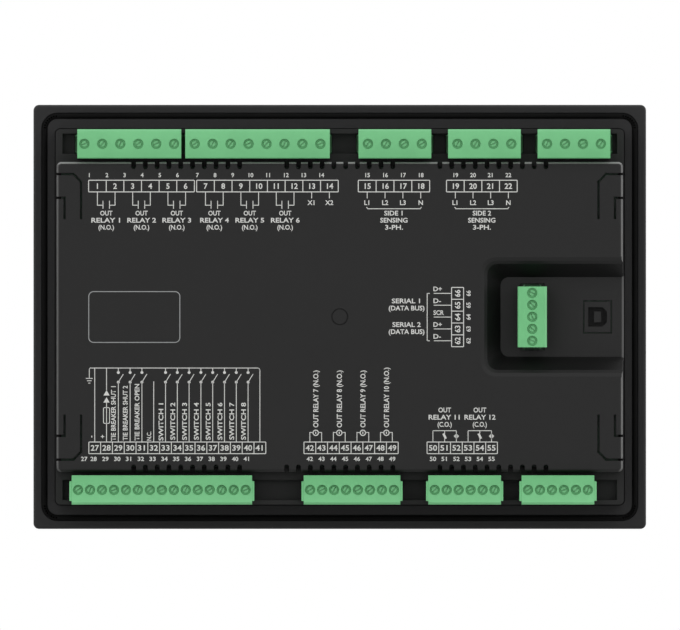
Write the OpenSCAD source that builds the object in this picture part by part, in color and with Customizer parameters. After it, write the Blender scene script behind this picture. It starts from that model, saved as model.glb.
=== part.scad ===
// Bus tie controller for a switchboard door, with pluggable screw terminals on its back.
// Every shape is drawn as seen from behind: x to the right, y up and z out of the back.
// z = 0 is the plane where the flange meets the door. place() turns the shapes into the
// part's own frame, where the back faces +y, the top faces +z and y = 0 is that plane.

/* [Bezel] */
// Width of the bezel
bezel_w = 260; // [257:0.5:280]
// Height of the bezel
bezel_h = 180; // [177:0.5:200]
// Depth of the bezel in front of the door
bezel_depth = 9; // [8.5:0.1:12]
// Radius of the bezel's corners
bezel_corner = 2.4; // [2:0.1:3.2]
// Rounding of the bezel's rear edge
rear_round = 1; // [0.5:0.1:1.6]
// Rounding of the bezel's front edge
front_round = 1.6; // [0.6:0.1:1.9]
// Width of the raised rim round the fascia
rim_w = 7; // [5:0.5:9]
// Height of the rim above the fascia
rim_rise = 1.5; // [1:0.1:2]
// Thickness of the front wall
front_wall = 2.4; // [2:0.1:3]

/* [Gasket] */
// Width of the flange outside the gasket groove
groove_inset = 3.4; // [2.6:0.1:4]
// Width of the gasket groove
groove_w = 2.6; // [2.2:0.1:3.2]
// Depth of the gasket groove
groove_depth = 2; // [1.4:0.1:2.6]
// Outer radius of the groove's corners
groove_corner = 6.8; // [4:0.1:9]
// Width of the gasket
gasket_w = 2; // [1.4:0.1:2]
// Height of the gasket above the flange
gasket_rise = 0.8; // [0.3:0.1:1.5]

/* [Rear housing] */
// Width of the rear housing
body_w = 241.2; // [240:0.1:244]
// Height of the rear housing
body_h = 159.4; // [158:0.1:162]
// Height of the housing's top face above the flange
body_rise = 40; // [38:0.1:46]
// Wall of the rear housing
body_wall = 1.95; // [1.6:0.05:2.4]
// Radius of the housing's corners
body_corner = 2; // [1.6:0.1:3]
// How far the raised block stands in from the housing's sides
block_step = 0.5; // [0.3:0.1:0.8]
// Rounding of the top face's edges
body_edge = 1.2; // [0.6:0.1:1.5]
// Gap between the housing and the bezel round it
fit_gap = 0.25; // [0.1:0.05:0.4]
// Thickness of the snap catches
catch_reach = 0.7; // [0.5:0.1:1]

/* [Terminal troughs] */
// Width of each trough
trough_w = 8.6; // [8.6:0.05:9.2]
// Wall at the ends of a trough
trough_end = 3; // [2.4:0.1:4]
// Width of the ledge between a trough and the raised block
ledge_w = 3.35; // [2.8:0.05:4]
// Drop from the top face to the ledge
shelf_drop = 9.7; // [8:0.1:12]
// Depth of the trough below the ledge
trough_drop = 6.3; // [5:0.1:7]

/* [Vents] */
// Width of a vent slot
vent_w = 2; // [1.5:0.1:2.6]
// Distance between vent slots
vent_pitch = 5; // [4:0.1:5.6]
// Vent slots in a group
vent_count = 10; // [4:1:10]
// Distance between groups
vent_spacing = 65; // [58:0.5:66]
// Reach of a slot over the top face
vent_reach = 3.1; // [2.6:0.1:5]
// Reach of a slot down the side of the block
vent_drop = 7; // [4:0.5:8]

/* [Side arms] */
// Width of the slits round a side arm
slit_w = 1; // [0.7:0.05:1.4]
// Distance of an arm from the block's edge
arm_inset = 5.2; // [4:0.1:8]
// Length of an arm
arm_len = 18.6; // [15:0.1:22]
// Length of an arm's shoulder
arm_shoulder = 10.1; // [8:0.1:12]
// Width of an arm's shoulder
arm_w = 10.8; // [9:0.1:13]
// Distance of an arm's leg from the side
arm_leg = 3.8; // [3:0.1:5]
// Length of the slits down the side wall
slit_drop = 18; // [10:0.5:22]

/* [Data pocket] */
// Length of the pocket at the top face
pocket_len = 58; // [52:0.5:66]
// Height of the pocket at the top face
pocket_h = 45; // [43:0.5:50]
// Depth of the pocket
pocket_depth = 13; // [11:0.1:14]
// Draft of the pocket's walls over its depth
pocket_draft = 5.6; // [3:0.1:6]
// Distance from the pocket's floor edge to its terminal block
link_inset = 13.5; // [11:0.1:16]
// Distance of the data socket from the side
socket_inset = 11.2; // [9:0.1:13]
// Width of the data socket
socket_w = 11; // [10.6:0.1:12.6]
// Height of the data socket
socket_h = 12.8; // [12:0.1:14.4]
// Gap round the data socket
socket_gap = 0.65; // [0.4:0.05:0.8]
// Size of the data socket's mouth
mouth_w = 8; // [7:0.1:8.6]

/* [Terminals] */
// Pitch of the small terminals
small_pitch = 5.08; // [5:0.04:5.08]
// Pitch of the large terminals
large_pitch = 7.62; // [7.5:0.02:7.62]
// Width of a header
header_w = 8.5; // [8.2:0.05:8.55]
// Height of a header above its board
header_h = 12; // [11.5:0.1:13]
// Wall of a header
header_wall = 0.9; // [0.7:0.05:1.1]
// Width of a header beyond each end of its plug
header_end = 0.8; // [0.6:0.05:1.1]
// Width of a plug
plug_w = 12.4; // [12:0.1:13.4]
// Height of a plug above its header
plug_rise = 14.4; // [13.6:0.1:16]
// Bore over each terminal screw
bore_d = 4.3; // [3.8:0.05:4.4]
// Head of a terminal screw
screw_d = 3.6; // [3.2:0.05:3.7]
// Flat of a terminal screw's head, inside its bevel
screw_flat = 2.5; // [2:0.05:2.8]
// Width of a wire entry
funnel_w = 3.6; // [3:0.1:3.8]
// Height of a wire entry
funnel_h = 4; // [3:0.1:4]

/* [Display] */
// Width of the display window
window_w = 152; // [120:1:154]
// Height of the display window
window_h = 88; // [70:1:90]
// Centre of the display window, seen from behind
window_x = 22; // [18:0.5:24]
// Height of the display window's centre
window_y = 18; // [15:0.5:19]
// Thickness of the window pane
pane_t = 1.4; // [1:0.1:1.8]

/* [Keys] */
// Travel of a key
key_travel = 0.8; // [0.4:0.05:1]
// Diameter of the round keys
round_key_d = 17; // [14:0.5:20]
// Width of the menu keys
menu_key_w = 20; // [16:0.5:24]
// Height of the menu keys
menu_key_h = 14; // [11:0.5:16]
// Height of a key above the fascia
key_rise = 1.2; // [0.8:0.1:1.4]
// Gap round a key
key_gap = 0.3; // [0.2:0.05:0.5]
// Distance between the round keys
round_key_step = 36; // [30:0.5:37]
// Distance between the menu keys
menu_key_step = 22; // [19:0.5:23]
// Diameter of an indicator
lamp_d = 3; // [2.4:0.1:4]

/* [Boards] */
// Thickness of both circuit boards
board_t = 1.6; // [1.2:0.1:2]
// Gap between a board and the housing
board_gap = 0.4; // [0.2:0.05:0.8]
// Diameter of the board screws
board_screw_d = 2.5; // [2:0.1:3]

/* [Hidden] */
$fn = 48;

// A hair of clearance where two pieces seat, and the overrun of a cut past a face
seat = 0.05;
over = 1;

// Levels in front of the flange
fascia_z = -bezel_depth + rim_rise;
wall_back = fascia_z + front_wall;
overlay_t = 0.4;
display_t = 5.3;
display_board_z = wall_back + display_t + 0.3;

// Levels behind the flange
shelf_z = body_rise - shelf_drop;
trough_z = shelf_z - trough_drop;
header_top = shelf_z + 0.2;
board_top = header_top - header_h;
board_bottom = board_top - board_t;
head_z = header_top + 0.1;
plug_top = head_z + plug_rise;
pocket_z = body_rise - pocket_depth;
trough_floor_t = 1.8;

// Outlines of the housing
half_w = body_w / 2;
half_h = body_h / 2;
row_y = half_h - body_wall - trough_w / 2;
block_h = body_h - 2 * (body_wall + trough_w + ledge_w);
block_y = block_h / 2;
inside_w = body_w - 2 * body_wall;
inside_h = body_h - 2 * body_wall;
pocket_floor_x = half_w - pocket_len + pocket_draft;
link_x = pocket_floor_x + link_inset;
socket_x = half_w - socket_inset;

// The terminal blocks of each trough: ways, and how much each end is shortened. The spaces
// before, between and after them share what they leave free in the trough.
plug_over = 0.4;
upper_ways = [[6, 1], [8, 0], [4, 0], [4, 0], [4, 0]];
upper_spaces = [5.4, 0.1, 10.58, 5.52, 5.52, 1.96];
lower_ways = [[15, 0], [8, 0], [6, 0], [6, 0]];
lower_spaces = [3, 20.28, 10.24, 7.12, 8.76];
link_ways = 5;

// Sum of the first n values of a list
function total(list, n) = n == 0 ? 0 : list[n - 1] + total(list, n - 1);

// Lengths of the headers of a trough
function header_lens(ways, pitch) =
    [for (w = ways) w[0] * pitch + plug_over - 2 * w[1] + 2 * header_end];

// One entry for each terminal block of a trough: x, y, turn, ways, pitch and shortened ends
function block_row(ways, spaces, pitch, y, turn) =
    let (trough = body_w - 2 * trough_end, lens = header_lens(ways, pitch), n = len(ways),
        share = (trough - total(lens, n)) / total(spaces, n + 1))
    [for (i = [0 : n - 1])
        [total(lens, i) + lens[i] / 2 + share * total(spaces, i + 1) - trough / 2,
            y, turn, ways[i][0], pitch, ways[i][1]]];

upper = block_row(upper_ways, upper_spaces, large_pitch, row_y, 0);
lower = block_row(lower_ways, lower_spaces, small_pitch, -row_y, 180);
link = [link_x, 0, -90, link_ways, small_pitch, 0];
blocks = concat(upper, lower, [link]);

// Sizes inside a terminal block
end_wall = 1;
notch_post = 1.05;
notch_h = 7;
cavity_floor = 3;
foot_gap = 0.2;
foot_h = header_h - cavity_floor - 0.5;
pin_w = 1;
pin_rise = 9;
pin_tail = 1.4;
cage_w = 4;
cage_d = 5.2;
cage_h = 6;
cage_z = head_z + 3;
funnel_z = cage_z + cage_h / 2;
screw_sink = 0.9;
screw_head_h = 2.2;
screw_bevel = 0.8;
thread_d = 2.6;

// Keys and indicators, seen from behind, from the display's own place
key_face = fascia_z - key_rise;
key_flange = 1.4;
flange_t = 1.1;
stem_r = 1.8;
switch_w = 7;
switch_front = display_board_z - 3.1;
stem_end = switch_front + 0.4;
round_key_y = -bezel_h / 2 + 30;
round_key_x = [for (i = [0 : 5]) (2.5 - i) * round_key_step + 2];
lamp_y = round_key_y + round_key_d / 2 + 6;
menu_key_x = -bezel_w / 2 + 37;
menu_key_y = [for (i = [0 : 4]) lamp_y + menu_key_h / 2 + 6.5 + (4 - i) * menu_key_step];
round_keys = [for (x = round_key_x) [x, round_key_y]];
menu_keys = [for (y = menu_key_y) [menu_key_x, y]];
lamps = [for (x = round_key_x) [x, lamp_y]];

// The display board stands inside both the housing and the gasket groove
front_w = min(inside_w, bezel_w - 2 * (groove_inset + groove_w + 1));
front_h = min(inside_h, bezel_h - 2 * (groove_inset + groove_w + 1));

// Screw places on the display board and on the main board
boss_r = 3.2;
boss_x = front_w / 2 - boss_r - 3.4;
boss_y = front_h / 2 - boss_r - 1;
bosses = concat([for (x = [-1, 1], y = [-1, 1]) [x * boss_x, y * boss_y]],
    [for (x = [-1, 1]) [x * round_key_step + 2, -boss_y]]);
board_x = inside_w / 2;
posts = [for (p = [[10.65 - board_x, 32.3], [0, 42.3], [board_x - 18.65, 28.3]], s = [-1, 1])
    [p[0], s * (block_y - p[1])]];
pilot_d = board_screw_d + 0.1;
screw_head_d = board_screw_d * 2;
screw_head_t = 1.8;
screw_len = 6;

// Snap catches along the long sides of the skirt
catch_inset = 30.6;
catches = [for (x = [-1, -1 / 3, 1 / 3, 1], s = [-1, 1]) [x * (half_w - catch_inset), s]];
catch_w = 8;
catch_z = wall_back + 1.6;

// Parts on the main board, with their places measured from the inside of the housing
relay_w = 10;
relay_len = 20;
relay_h = 15.5;
relay_step = 14;
relay_x = 28.65 - board_x;
relay_y = block_y - 22.3;
can_d = 12.5;
can_h = 16;
can_step = 16;
choke_w = 22;
choke_len = 20;
choke_h = 14;
choke_x = 33.65 - board_x;
can_x = choke_x + 25;
can_y = 26.3 - block_y;
chip_w = 20;
chip_h = 1.6;
cell_d = 20;
cell_h = 3.6;
ribbon_w = 40;
ribbon_t = 5;

housing_grey = "#2f2f2f";
bezel_grey = "#29292a";
plug_green = "#7bc08a";
header_green = "#5f9f6c";
metal_grey = "#b9bcc0";
board_green = "#1f5a35";

// Turns a shape drawn from behind into the part's frame
module place() {
    rotate([90, 0, 180]) children();
}

// Flat outline with rounded corners
module rounded(w, h, r) {
    square([w - 2 * r, h], center = true);
    square([w, h - 2 * r], center = true);
    for (x = [-1, 1], y = [-1, 1]) translate([x * (w / 2 - r), y * (h / 2 - r)]) circle(r);
}

// Upright slab with rounded corners between two levels
module slab(w, h, r, z0, z1) {
    translate([0, 0, z0]) linear_extrude(z1 - z0) rounded(w, h, r);
}

// Box between two levels, centred on x and y
module bar(w, h, z0, z1) {
    translate([-w / 2, -h / 2, z0]) cube([w, h, z1 - z0]);
}

// Points of a quarter arc, or the bare corner where the radius is 0
function quarter(x, z, r, start, steps) =
    r == 0 ? [[x, z]] : [for (i = [0 : steps])
        [x + r * cos(start + 90 * i / steps), z + r * sin(start + 90 * i / steps)]];

// Right half of a section with a rounded foot and a rounded top
function half_section(x, z0, z1, r0, r1, steps) =
    concat(quarter(x - r0, z0 + r0, r0, -90, steps), quarter(x - r1, z1 - r1, r1, 0, steps));

// Whole section, from its right half and its mirror
function section(x, z0, z1, r0, r1, steps) =
    let (right = half_section(x, z0, z1, r0, r1, steps))
    concat(right, [for (i = [len(right) - 1 : -1 : 0]) [-right[i][0], right[i][1]]]);

// Block with rounded upright corners, a rounded foot r0 and a rounded top r1
module soft_block(w, h, r, z0, z1, r0, r1, steps) {
    rotate([90, 0, 90]) linear_extrude(w - 2 * r, center = true)
        polygon(section(h / 2, z0, z1, r0, r1, steps));
    rotate([90, 0, 0]) linear_extrude(h - 2 * r, center = true)
        polygon(section(w / 2, z0, z1, r0, r1, steps));
    for (x = [-1, 1], y = [-1, 1]) translate([x * (w / 2 - r), y * (h / 2 - r), 0]) rotate_extrude()
        polygon(concat([[0, z0]], half_section(r, z0, z1, r0, r1, steps), [[0, z1]]));
}

// Bezel
module groove_ring(outer, width) {
    difference() {
        rounded(bezel_w - 2 * outer, bezel_h - 2 * outer, groove_corner - outer + groove_inset);
        rounded(bezel_w - 2 * (outer + width), bezel_h - 2 * (outer + width),
            groove_corner - outer + groove_inset - width);
    }
}

module bezel_shell() {
    difference() {
        soft_block(bezel_w, bezel_h, bezel_corner, -bezel_depth, 0, front_round, rear_round, 3);
        slab(bezel_w - 2 * rim_w, bezel_h - 2 * rim_w, 3, -bezel_depth - over, fascia_z);
        slab(body_w + 2 * fit_gap, body_h + 2 * fit_gap, body_corner + fit_gap, wall_back, over);
        translate([0, 0, -groove_depth]) linear_extrude(groove_depth + over)
            groove_ring(groove_inset, groove_w);
    }
}

module front_bezel() {
    place() color(bezel_grey) difference() {
        union() {
            bezel_shell();
            for (p = bosses) translate([p[0], p[1], wall_back - seat])
                cylinder(r = boss_r, h = display_board_z - wall_back + seat);
        }
        translate([window_x, window_y, 0]) {
            slab(window_w + 6, window_h + 6, 2, fascia_z - over, fascia_z + pane_t + seat);
            slab(window_w, window_h, 1, fascia_z, wall_back + over);
        }
        for (p = round_keys) translate([p[0], p[1], fascia_z - over])
            cylinder(d = round_key_d + 2 * key_gap, h = front_wall + 2 * over);
        for (p = menu_keys) translate([p[0], p[1], 0])
            slab(menu_key_w + 2 * key_gap, menu_key_h + 2 * key_gap, 2 + key_gap,
                fascia_z - over, wall_back + over);
        for (p = lamps) translate([p[0], p[1], fascia_z - over])
            cylinder(d = lamp_d + 0.1, h = front_wall + 2 * over);
        for (p = bosses) translate([p[0], p[1], wall_back + 0.6])
            cylinder(d = pilot_d, h = bezel_depth);
        for (c = catches) translate([c[0], c[1] * (half_h + fit_gap), catch_z])
            cube([catch_w + 0.6, 2 * (catch_reach + 0.1), 2.4], center = true);
    }
}

module fascia_overlay() {
    place() color("#36383b") difference() {
        slab(bezel_w - 2 * rim_w - 0.4, bezel_h - 2 * rim_w - 0.4, 2.8, fascia_z - overlay_t, fascia_z);
        translate([window_x, window_y, 0])
            slab(window_w - 2, window_h - 2, 1, fascia_z - over, fascia_z + over);
        for (p = round_keys) translate([p[0], p[1], fascia_z - over])
            cylinder(d = round_key_d + 4 * key_gap, h = 2 * over);
        for (p = menu_keys) translate([p[0], p[1], 0])
            slab(menu_key_w + 4 * key_gap, menu_key_h + 4 * key_gap, 2 + 2 * key_gap,
                fascia_z - over, fascia_z + over);
        for (p = lamps) translate([p[0], p[1], fascia_z - over])
            cylinder(d = lamp_d + 0.4, h = 2 * over);
    }
}

module panel_gasket() {
    place() color("#101010") translate([0, 0, -groove_depth + seat])
        linear_extrude(groove_depth + gasket_rise - seat)
            groove_ring(groove_inset + (groove_w - gasket_w) / 2, gasket_w);
}

// Display
module display_pane() {
    place() color("#6f7c84") translate([window_x, window_y, 0])
        slab(window_w + 5.6, window_h + 5.6, 1.8, fascia_z + seat, fascia_z + pane_t);
}

module display_frame() {
    place() color("#3a3d40") translate([window_x, window_y, 0]) difference() {
        slab(window_w + 14, window_h + 16, 1.5, wall_back + seat, wall_back + display_t);
        slab(window_w + 4.4, window_h + 4.4, 0.5, wall_back - over, wall_back + 1.6);
    }
}

module display_glass() {
    place() color("#20262a") translate([window_x, window_y, 0])
        slab(window_w + 4, window_h + 4, 0.4, wall_back + 0.1, wall_back + 1.6 - seat);
}

module display_board() {
    place() color(board_green) difference() {
        slab(front_w - 2 * board_gap, front_h - 2 * board_gap, 2,
            display_board_z, display_board_z + board_t);
        for (p = bosses) translate([p[0], p[1], display_board_z - over])
            cylinder(d = board_screw_d + 0.5, h = board_t + 2 * over);
    }
}

// Keys, their switches and the indicators
module key_switches() {
    place() color("#1c1c1e") for (p = concat(round_keys, menu_keys)) translate([p[0], p[1], 0])
        difference() {
            bar(switch_w, switch_w, switch_front, display_board_z);
            translate([0, 0, switch_front - over])
                cylinder(r = stem_r + 0.3, h = key_travel + 1.3 + over);
        }
}

// Key stem and flange, behind the front wall
module key_stem() {
    translate([0, 0, wall_back + flange_t]) cylinder(r = stem_r, h = stem_end - wall_back - flange_t);
}

module round_key(i, shade) {
    r = round_key_d / 2;
    dish_r = r - 1.6;
    dish = [for (k = [0 : 5]) [dish_r * k / 5, key_face + 0.35 * (1 - pow(k / 5, 2))]];
    side = [[r - 0.4, key_face], [r, key_face + 0.4], [r, wall_back + seat]];
    flange = [[r + key_flange, wall_back + seat], [r + key_flange, wall_back + flange_t],
        [0, wall_back + flange_t]];
    place() color(shade) translate([round_keys[i][0], round_keys[i][1], 0]) {
        rotate_extrude() polygon(concat(dish, side, flange));
        key_stem();
    }
}

module menu_key(i) {
    place() color("#55585c") translate([menu_keys[i][0], menu_keys[i][1], 0]) {
        slab(menu_key_w, menu_key_h, 2, key_face + 0.4, wall_back + flange_t - 0.2);
        hull() {
            slab(menu_key_w - 0.8, menu_key_h - 0.8, 1.6, key_face, key_face + 0.1, $fn = 32);
            slab(menu_key_w, menu_key_h, 2, key_face + 0.4, key_face + 0.5, $fn = 32);
        }
        slab(menu_key_w + 2 * key_flange, menu_key_h + 2 * key_flange, 2 + key_flange,
            wall_back + seat, wall_back + flange_t);
        key_stem();
    }
}

module key_stop() {
    round_key(5, "#b3261e");
}

module key_manual() {
    round_key(4, "#4a4d51");
}

module key_auto() {
    round_key(3, "#4a4d51");
}

module key_open() {
    round_key(2, "#4a4d51");
}

module key_close() {
    round_key(1, "#4a4d51");
}

module key_lamp_test() {
    round_key(0, "#4a4d51");
}

module key_up() {
    menu_key(0);
}

module key_down() {
    menu_key(1);
}

module key_confirm() {
    menu_key(2);
}

module key_page() {
    menu_key(3);
}

module key_mute() {
    menu_key(4);
}

module indicator_lenses() {
    place() color("#d8dcdc") for (p = lamps) translate([p[0], p[1], 0]) rotate_extrude() polygon([
        [0, fascia_z - 0.7], [lamp_d / 4, fascia_z - 0.6], [lamp_d / 2, fascia_z - 0.2],
        [lamp_d / 2, wall_back + seat], [lamp_d / 2 + 0.8, wall_back + seat],
        [lamp_d / 2 + 0.8, wall_back + 0.9], [lamp_d / 2 - 0.2, wall_back + 0.9],
        [lamp_d / 2 - 0.2, display_board_z - 1.4], [0, display_board_z - 1.4]]);
}

module indicator_lamps() {
    place() color("#e8e4cf") for (p = lamps) translate([p[0], p[1], 0])
        bar(3.2, 1.6, display_board_z - 1.2, display_board_z);
}

// Rear housing
module housing_outside() {
    slab(body_w, body_h, body_corner, wall_back + seat, shelf_z);
    soft_block(body_w - 2 * block_step, block_h, body_corner, shelf_z - over, body_rise, 0,
        body_edge, 4);
    for (c = catches) translate([c[0], c[1] * half_h, catch_z]) rotate([0, 90, 0])
        linear_extrude(catch_w, center = true)
            polygon([[-0.8, 0], [0, c[1] * catch_reach], [0.8, 0], [0, -c[1] * over]]);
}

module housing_inside() {
    bar(inside_w, inside_h, wall_back - over, shelf_z - body_wall);
    bar(inside_w, block_h - 2 * body_wall, wall_back, body_rise - body_wall);
}

// Box of one trough, and the trough itself cut from it
module trough_box(s) {
    y0 = row_y - trough_w / 2 - body_wall;
    translate([-half_w + body_wall / 2, s > 0 ? y0 : -half_h + body_wall / 2, trough_z - trough_floor_t])
        cube([body_w - body_wall, half_h - body_wall / 2 - y0, shelf_z - trough_z + trough_floor_t]);
}

module trough_cut(s) {
    translate([0, s * row_y, 0]) bar(body_w - 2 * trough_end, trough_w, trough_z, shelf_z + over);
}

// Level outline of the data pocket, open past the side of the housing
module pocket_outline(left, half, r, reach) {
    translate([left + r, -half + r]) circle(r, $fn = 32);
    translate([left + r, half - r]) circle(r, $fn = 32);
    translate([left + r, -half]) square([reach - left - r, 2 * half]);
}

// Pocket between two levels, each with its wall's inset from the opening and a corner radius
module pocket_step(z0, inset0, r0, z1, inset1, r1, reach) {
    left = half_w - pocket_len;
    hull() {
        translate([0, 0, z0]) linear_extrude(seat)
            pocket_outline(left + inset0, pocket_h / 2 - inset0, r0, reach);
        translate([0, 0, z1 - seat]) linear_extrude(seat)
            pocket_outline(left + inset1, pocket_h / 2 - inset1, r1, reach);
    }
}

module pocket_cut() {
    lip = body_rise - 1.4;
    pocket_step(pocket_z, pocket_draft, 3.6, lip + seat, 0, 4.5, half_w + over);
    pocket_step(lip, 0, 4.5, body_rise - 0.4 + seat, -1.3, 5.4, half_w + over);
    pocket_step(body_rise - 0.4, -1.3, 5.4, body_rise + seat, -2.8, 6.4, half_w + over);
}

module pocket_walls() {
    pocket_step(pocket_z - body_wall, pocket_draft - body_wall, 5, body_rise - seat, -3.2, 7,
        half_w - body_wall / 2);
}

// Straight slit between two points
module stroke(a, b) {
    d = b - a;
    translate(a) rotate(atan2(d[1], d[0])) translate([-slit_w / 2, -slit_w / 2])
        square([norm(d) + slit_w, slit_w]);
}

module strokes(points) {
    for (i = [0 : len(points) - 2]) stroke(points[i], points[i + 1]);
}

// Slits that free one side arm of the housing, drawn for the upper right corner
module arm_slits() {
    top = block_y - arm_inset;
    bottom = top - arm_len;
    out = half_w + over;
    bend = half_w - arm_w + 3.2;
    strokes([[out, top], [bend, top], [half_w - arm_w, top - 3.3], [half_w - arm_w, bottom]]);
    strokes([[out, top - arm_shoulder], [half_w - arm_leg, top - arm_shoulder],
        [half_w - arm_leg, bottom]]);
}

// One vent slot, over the edge of the raised block
module vent() {
    translate([0, block_y - vent_reach + vent_w / 2]) circle(d = vent_w);
    translate([-vent_w / 2, block_y - vent_reach + vent_w / 2]) square([vent_w, vent_reach + over]);
}

module vents() {
    for (g = [-1, 0, 1], i = [0 : vent_count - 1], s = [0, 1]) mirror([0, s, 0])
        translate([g * vent_spacing + (i - (vent_count - 1) / 2) * vent_pitch, 0]) vent();
}

module rear_housing() {
    place() color(housing_grey) difference() {
        union() {
            difference() {
                housing_outside();
                housing_inside();
            }
            trough_box(1);
            trough_box(-1);
            pocket_walls();
            for (p = posts) translate([p[0], p[1], board_top])
                cylinder(r = boss_r, h = body_rise - body_wall / 2 - board_top);
        }
        trough_cut(1);
        trough_cut(-1);
        pocket_cut();
        for (b = concat(upper, lower)) at(b)
            bar(header_len(b) + 0.4, trough_w, trough_z - trough_floor_t - over, trough_z + over);
        at(link) bar(header_len(link) + 1, header_w + 1.7, pocket_z - body_wall - over, pocket_z + over);
        translate([socket_x, 0, 0])
            bar(socket_w + 2 * socket_gap, socket_h + 2 * socket_gap,
                pocket_z - body_wall - over, pocket_z + over);
        for (p = posts) translate([p[0], p[1], board_top - over])
            cylinder(d = pilot_d, h = screw_len + over);
        translate([0, 0, body_rise - vent_drop]) linear_extrude(vent_drop + over) vents();
        translate([0, 0, body_rise - slit_drop]) linear_extrude(slit_drop + over)
            for (x = [0, 1], y = [0, 1]) mirror([x, 0]) mirror([0, y]) arm_slits();
        translate([0, 0, body_rise - 0.6]) linear_extrude(over) difference() {
            circle(d = 7.2);
            circle(d = 6.2);
        }
    }
}

// Boards and what they carry
module main_board() {
    place() color(board_green) difference() {
        slab(inside_w - 2 * board_gap, inside_h - 2 * board_gap, 2, board_bottom, board_top);
        for (b = blocks) at_poles(b) translate([0, 0, board_bottom - over])
            cylinder(d = pin_w * 1.7, h = board_t + 2 * over);
        for (p = posts) translate([p[0], p[1], board_bottom - over])
            cylinder(d = board_screw_d + 0.5, h = board_t + 2 * over);
    }
}

// Pan head screw with its head's seat at z = 0 and its shank along +z
module board_screw() {
    difference() {
        union() {
            translate([0, 0, -screw_head_t]) cylinder(d = screw_head_d, h = screw_head_t);
            cylinder(d = board_screw_d, h = board_t + screw_len - 1.6);
        }
        for (a = [0, 90]) rotate(a) bar(screw_head_d * 0.6, 0.7, -screw_head_t - over, -screw_head_t + 1);
    }
}

module board_screws() {
    place() color(metal_grey) {
        for (p = posts) translate([p[0], p[1], board_bottom]) board_screw();
        for (p = bosses) translate([p[0], p[1], display_board_z + board_t]) mirror([0, 0, 1])
            board_screw();
    }
}

module board_link() {
    place() color("#151515") translate([board_x - 58.65, 14.3 - block_y, 0])
        bar(ribbon_w, ribbon_t, display_board_z + board_t, board_bottom);
}

module relays() {
    place() color("#2c4f86") for (i = [0 : 6]) translate([relay_x + relay_step * i, relay_y, 0])
        slab(relay_w, relay_len, 0.8, board_top, board_top + relay_h);
}

module capacitors() {
    place() color("#23272e") for (i = [0 : 2]) translate([can_x + can_step * i, can_y, board_top])
        cylinder(d = can_d, h = can_h);
}

module supply_choke() {
    place() color("#3a3a3c") translate([choke_x, can_y, 0])
        slab(choke_w, choke_len, 2, board_top, board_top + choke_h);
}

module processor() {
    place() color("#18181a") translate([32, 6, 0])
        slab(chip_w, chip_w, 0.5, board_top, board_top + chip_h);
}

module clock_battery() {
    place() color(metal_grey) translate([30, 24.3 - block_y, board_top]) cylinder(d = cell_d, h = cell_h);
}

// Data socket
module mouth_outline() {
    c = 1.8;
    h = mouth_w / 2;
    polygon([[-h, -h - 0.1], [h - c, -h - 0.1], [h, -h + c], [h, h - c], [h - c, h + 0.1], [-h, h + 0.1]]);
}

module data_socket_shell() {
    place() color("#2b2b2c") translate([socket_x, 0, 0]) difference() {
        bar(socket_w, socket_h, board_top, pocket_z);
        translate([0, 0, board_top + 1]) linear_extrude(pocket_z) mouth_outline();
    }
}

module data_socket_tongue() {
    place() color("#3a3a3b") translate([socket_x, 0, 0])
        bar(3, 4.6, board_top + 1, pocket_z - 0.5);
}

// Terminal blocks. A block is drawn with u along its row and v towards its wires.
function plug_len(b) = b[3] * b[4] + plug_over - 2 * b[5];
function header_len(b) = plug_len(b) + 2 * header_end;

module at(b) {
    translate([b[0], b[1], 0]) rotate(b[2]) children();
}

module at_poles(b) {
    at(b) for (i = [0 : b[3] - 1]) translate([(i - (b[3] - 1) / 2) * b[4], 0, 0]) children();
}

module header_outline(l) {
    u = l / 2;
    v = header_w / 2;
    c = 0.9;
    polygon([[-u + c, -v], [u - c, -v], [u, -v + c], [u, v - c], [u - c, v], [-u + c, v],
        [-u, v - c], [-u, -v + c]]);
}

module header(b) {
    l = header_len(b);
    place() color(header_green) difference() {
        at(b) translate([0, 0, board_top]) linear_extrude(header_h) header_outline(l);
        at(b) {
            bar(l - 2 * end_wall, header_w - 2 * header_wall, board_top + cavity_floor,
                header_top + over);
            bar(l + over, header_w - 2 * notch_post, header_top - notch_h, header_top + over);
        }
        at_poles(b) bar(pin_w, pin_w, board_top - over, header_top);
    }
}

module header_pins() {
    place() color("#c9ccd0") for (b = blocks) at_poles(b)
        bar(pin_w, pin_w, board_bottom - pin_tail, board_top + pin_rise);
}

// Section of a plug's head, with v across and z up, its wire side on the right
function head_section() =
    let (v = plug_w / 2)
    [[-v, head_z], [v - 1.6, head_z], [v, head_z + 1.6], [v, plug_top - 0.9], [v - 0.9, plug_top],
        [-v + 0.4, plug_top], [-v, plug_top - 0.4]];

module plug(b) {
    l = plug_len(b);
    foot_l = header_len(b) - 2 * end_wall - 2 * foot_gap;
    foot_w = header_w - 2 * header_wall - 2 * foot_gap;
    v = plug_w / 2;
    place() color(plug_green) difference() {
        at(b) {
            rotate([90, 0, 90]) linear_extrude(l, center = true) polygon(head_section());
            bar(foot_l, foot_w, header_top - foot_h, head_z + over);
        }
        at_poles(b) {
            translate([0, 0, cage_z]) cylinder(d = bore_d, h = plug_rise);
            bar(cage_w + 2 * seat, cage_d + 2 * seat, cage_z, cage_z + cage_h + seat);
            translate([-funnel_w / 2, 0, funnel_z - funnel_h / 2]) cube([funnel_w, v + over, funnel_h]);
            translate([-b[4] / 2 + 0.6, v - 0.4, head_z + 2.4]) cube([b[4] - 1.2, over, plug_rise - 4.2]);
            translate([-0.9, -v - over + 0.5, head_z - over]) cube([1.8, over, 9 + over]);
            bar(pin_w + 0.6, pin_w + 0.6, header_top - foot_h - over, board_top + pin_rise + 1);
        }
    }
}

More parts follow.
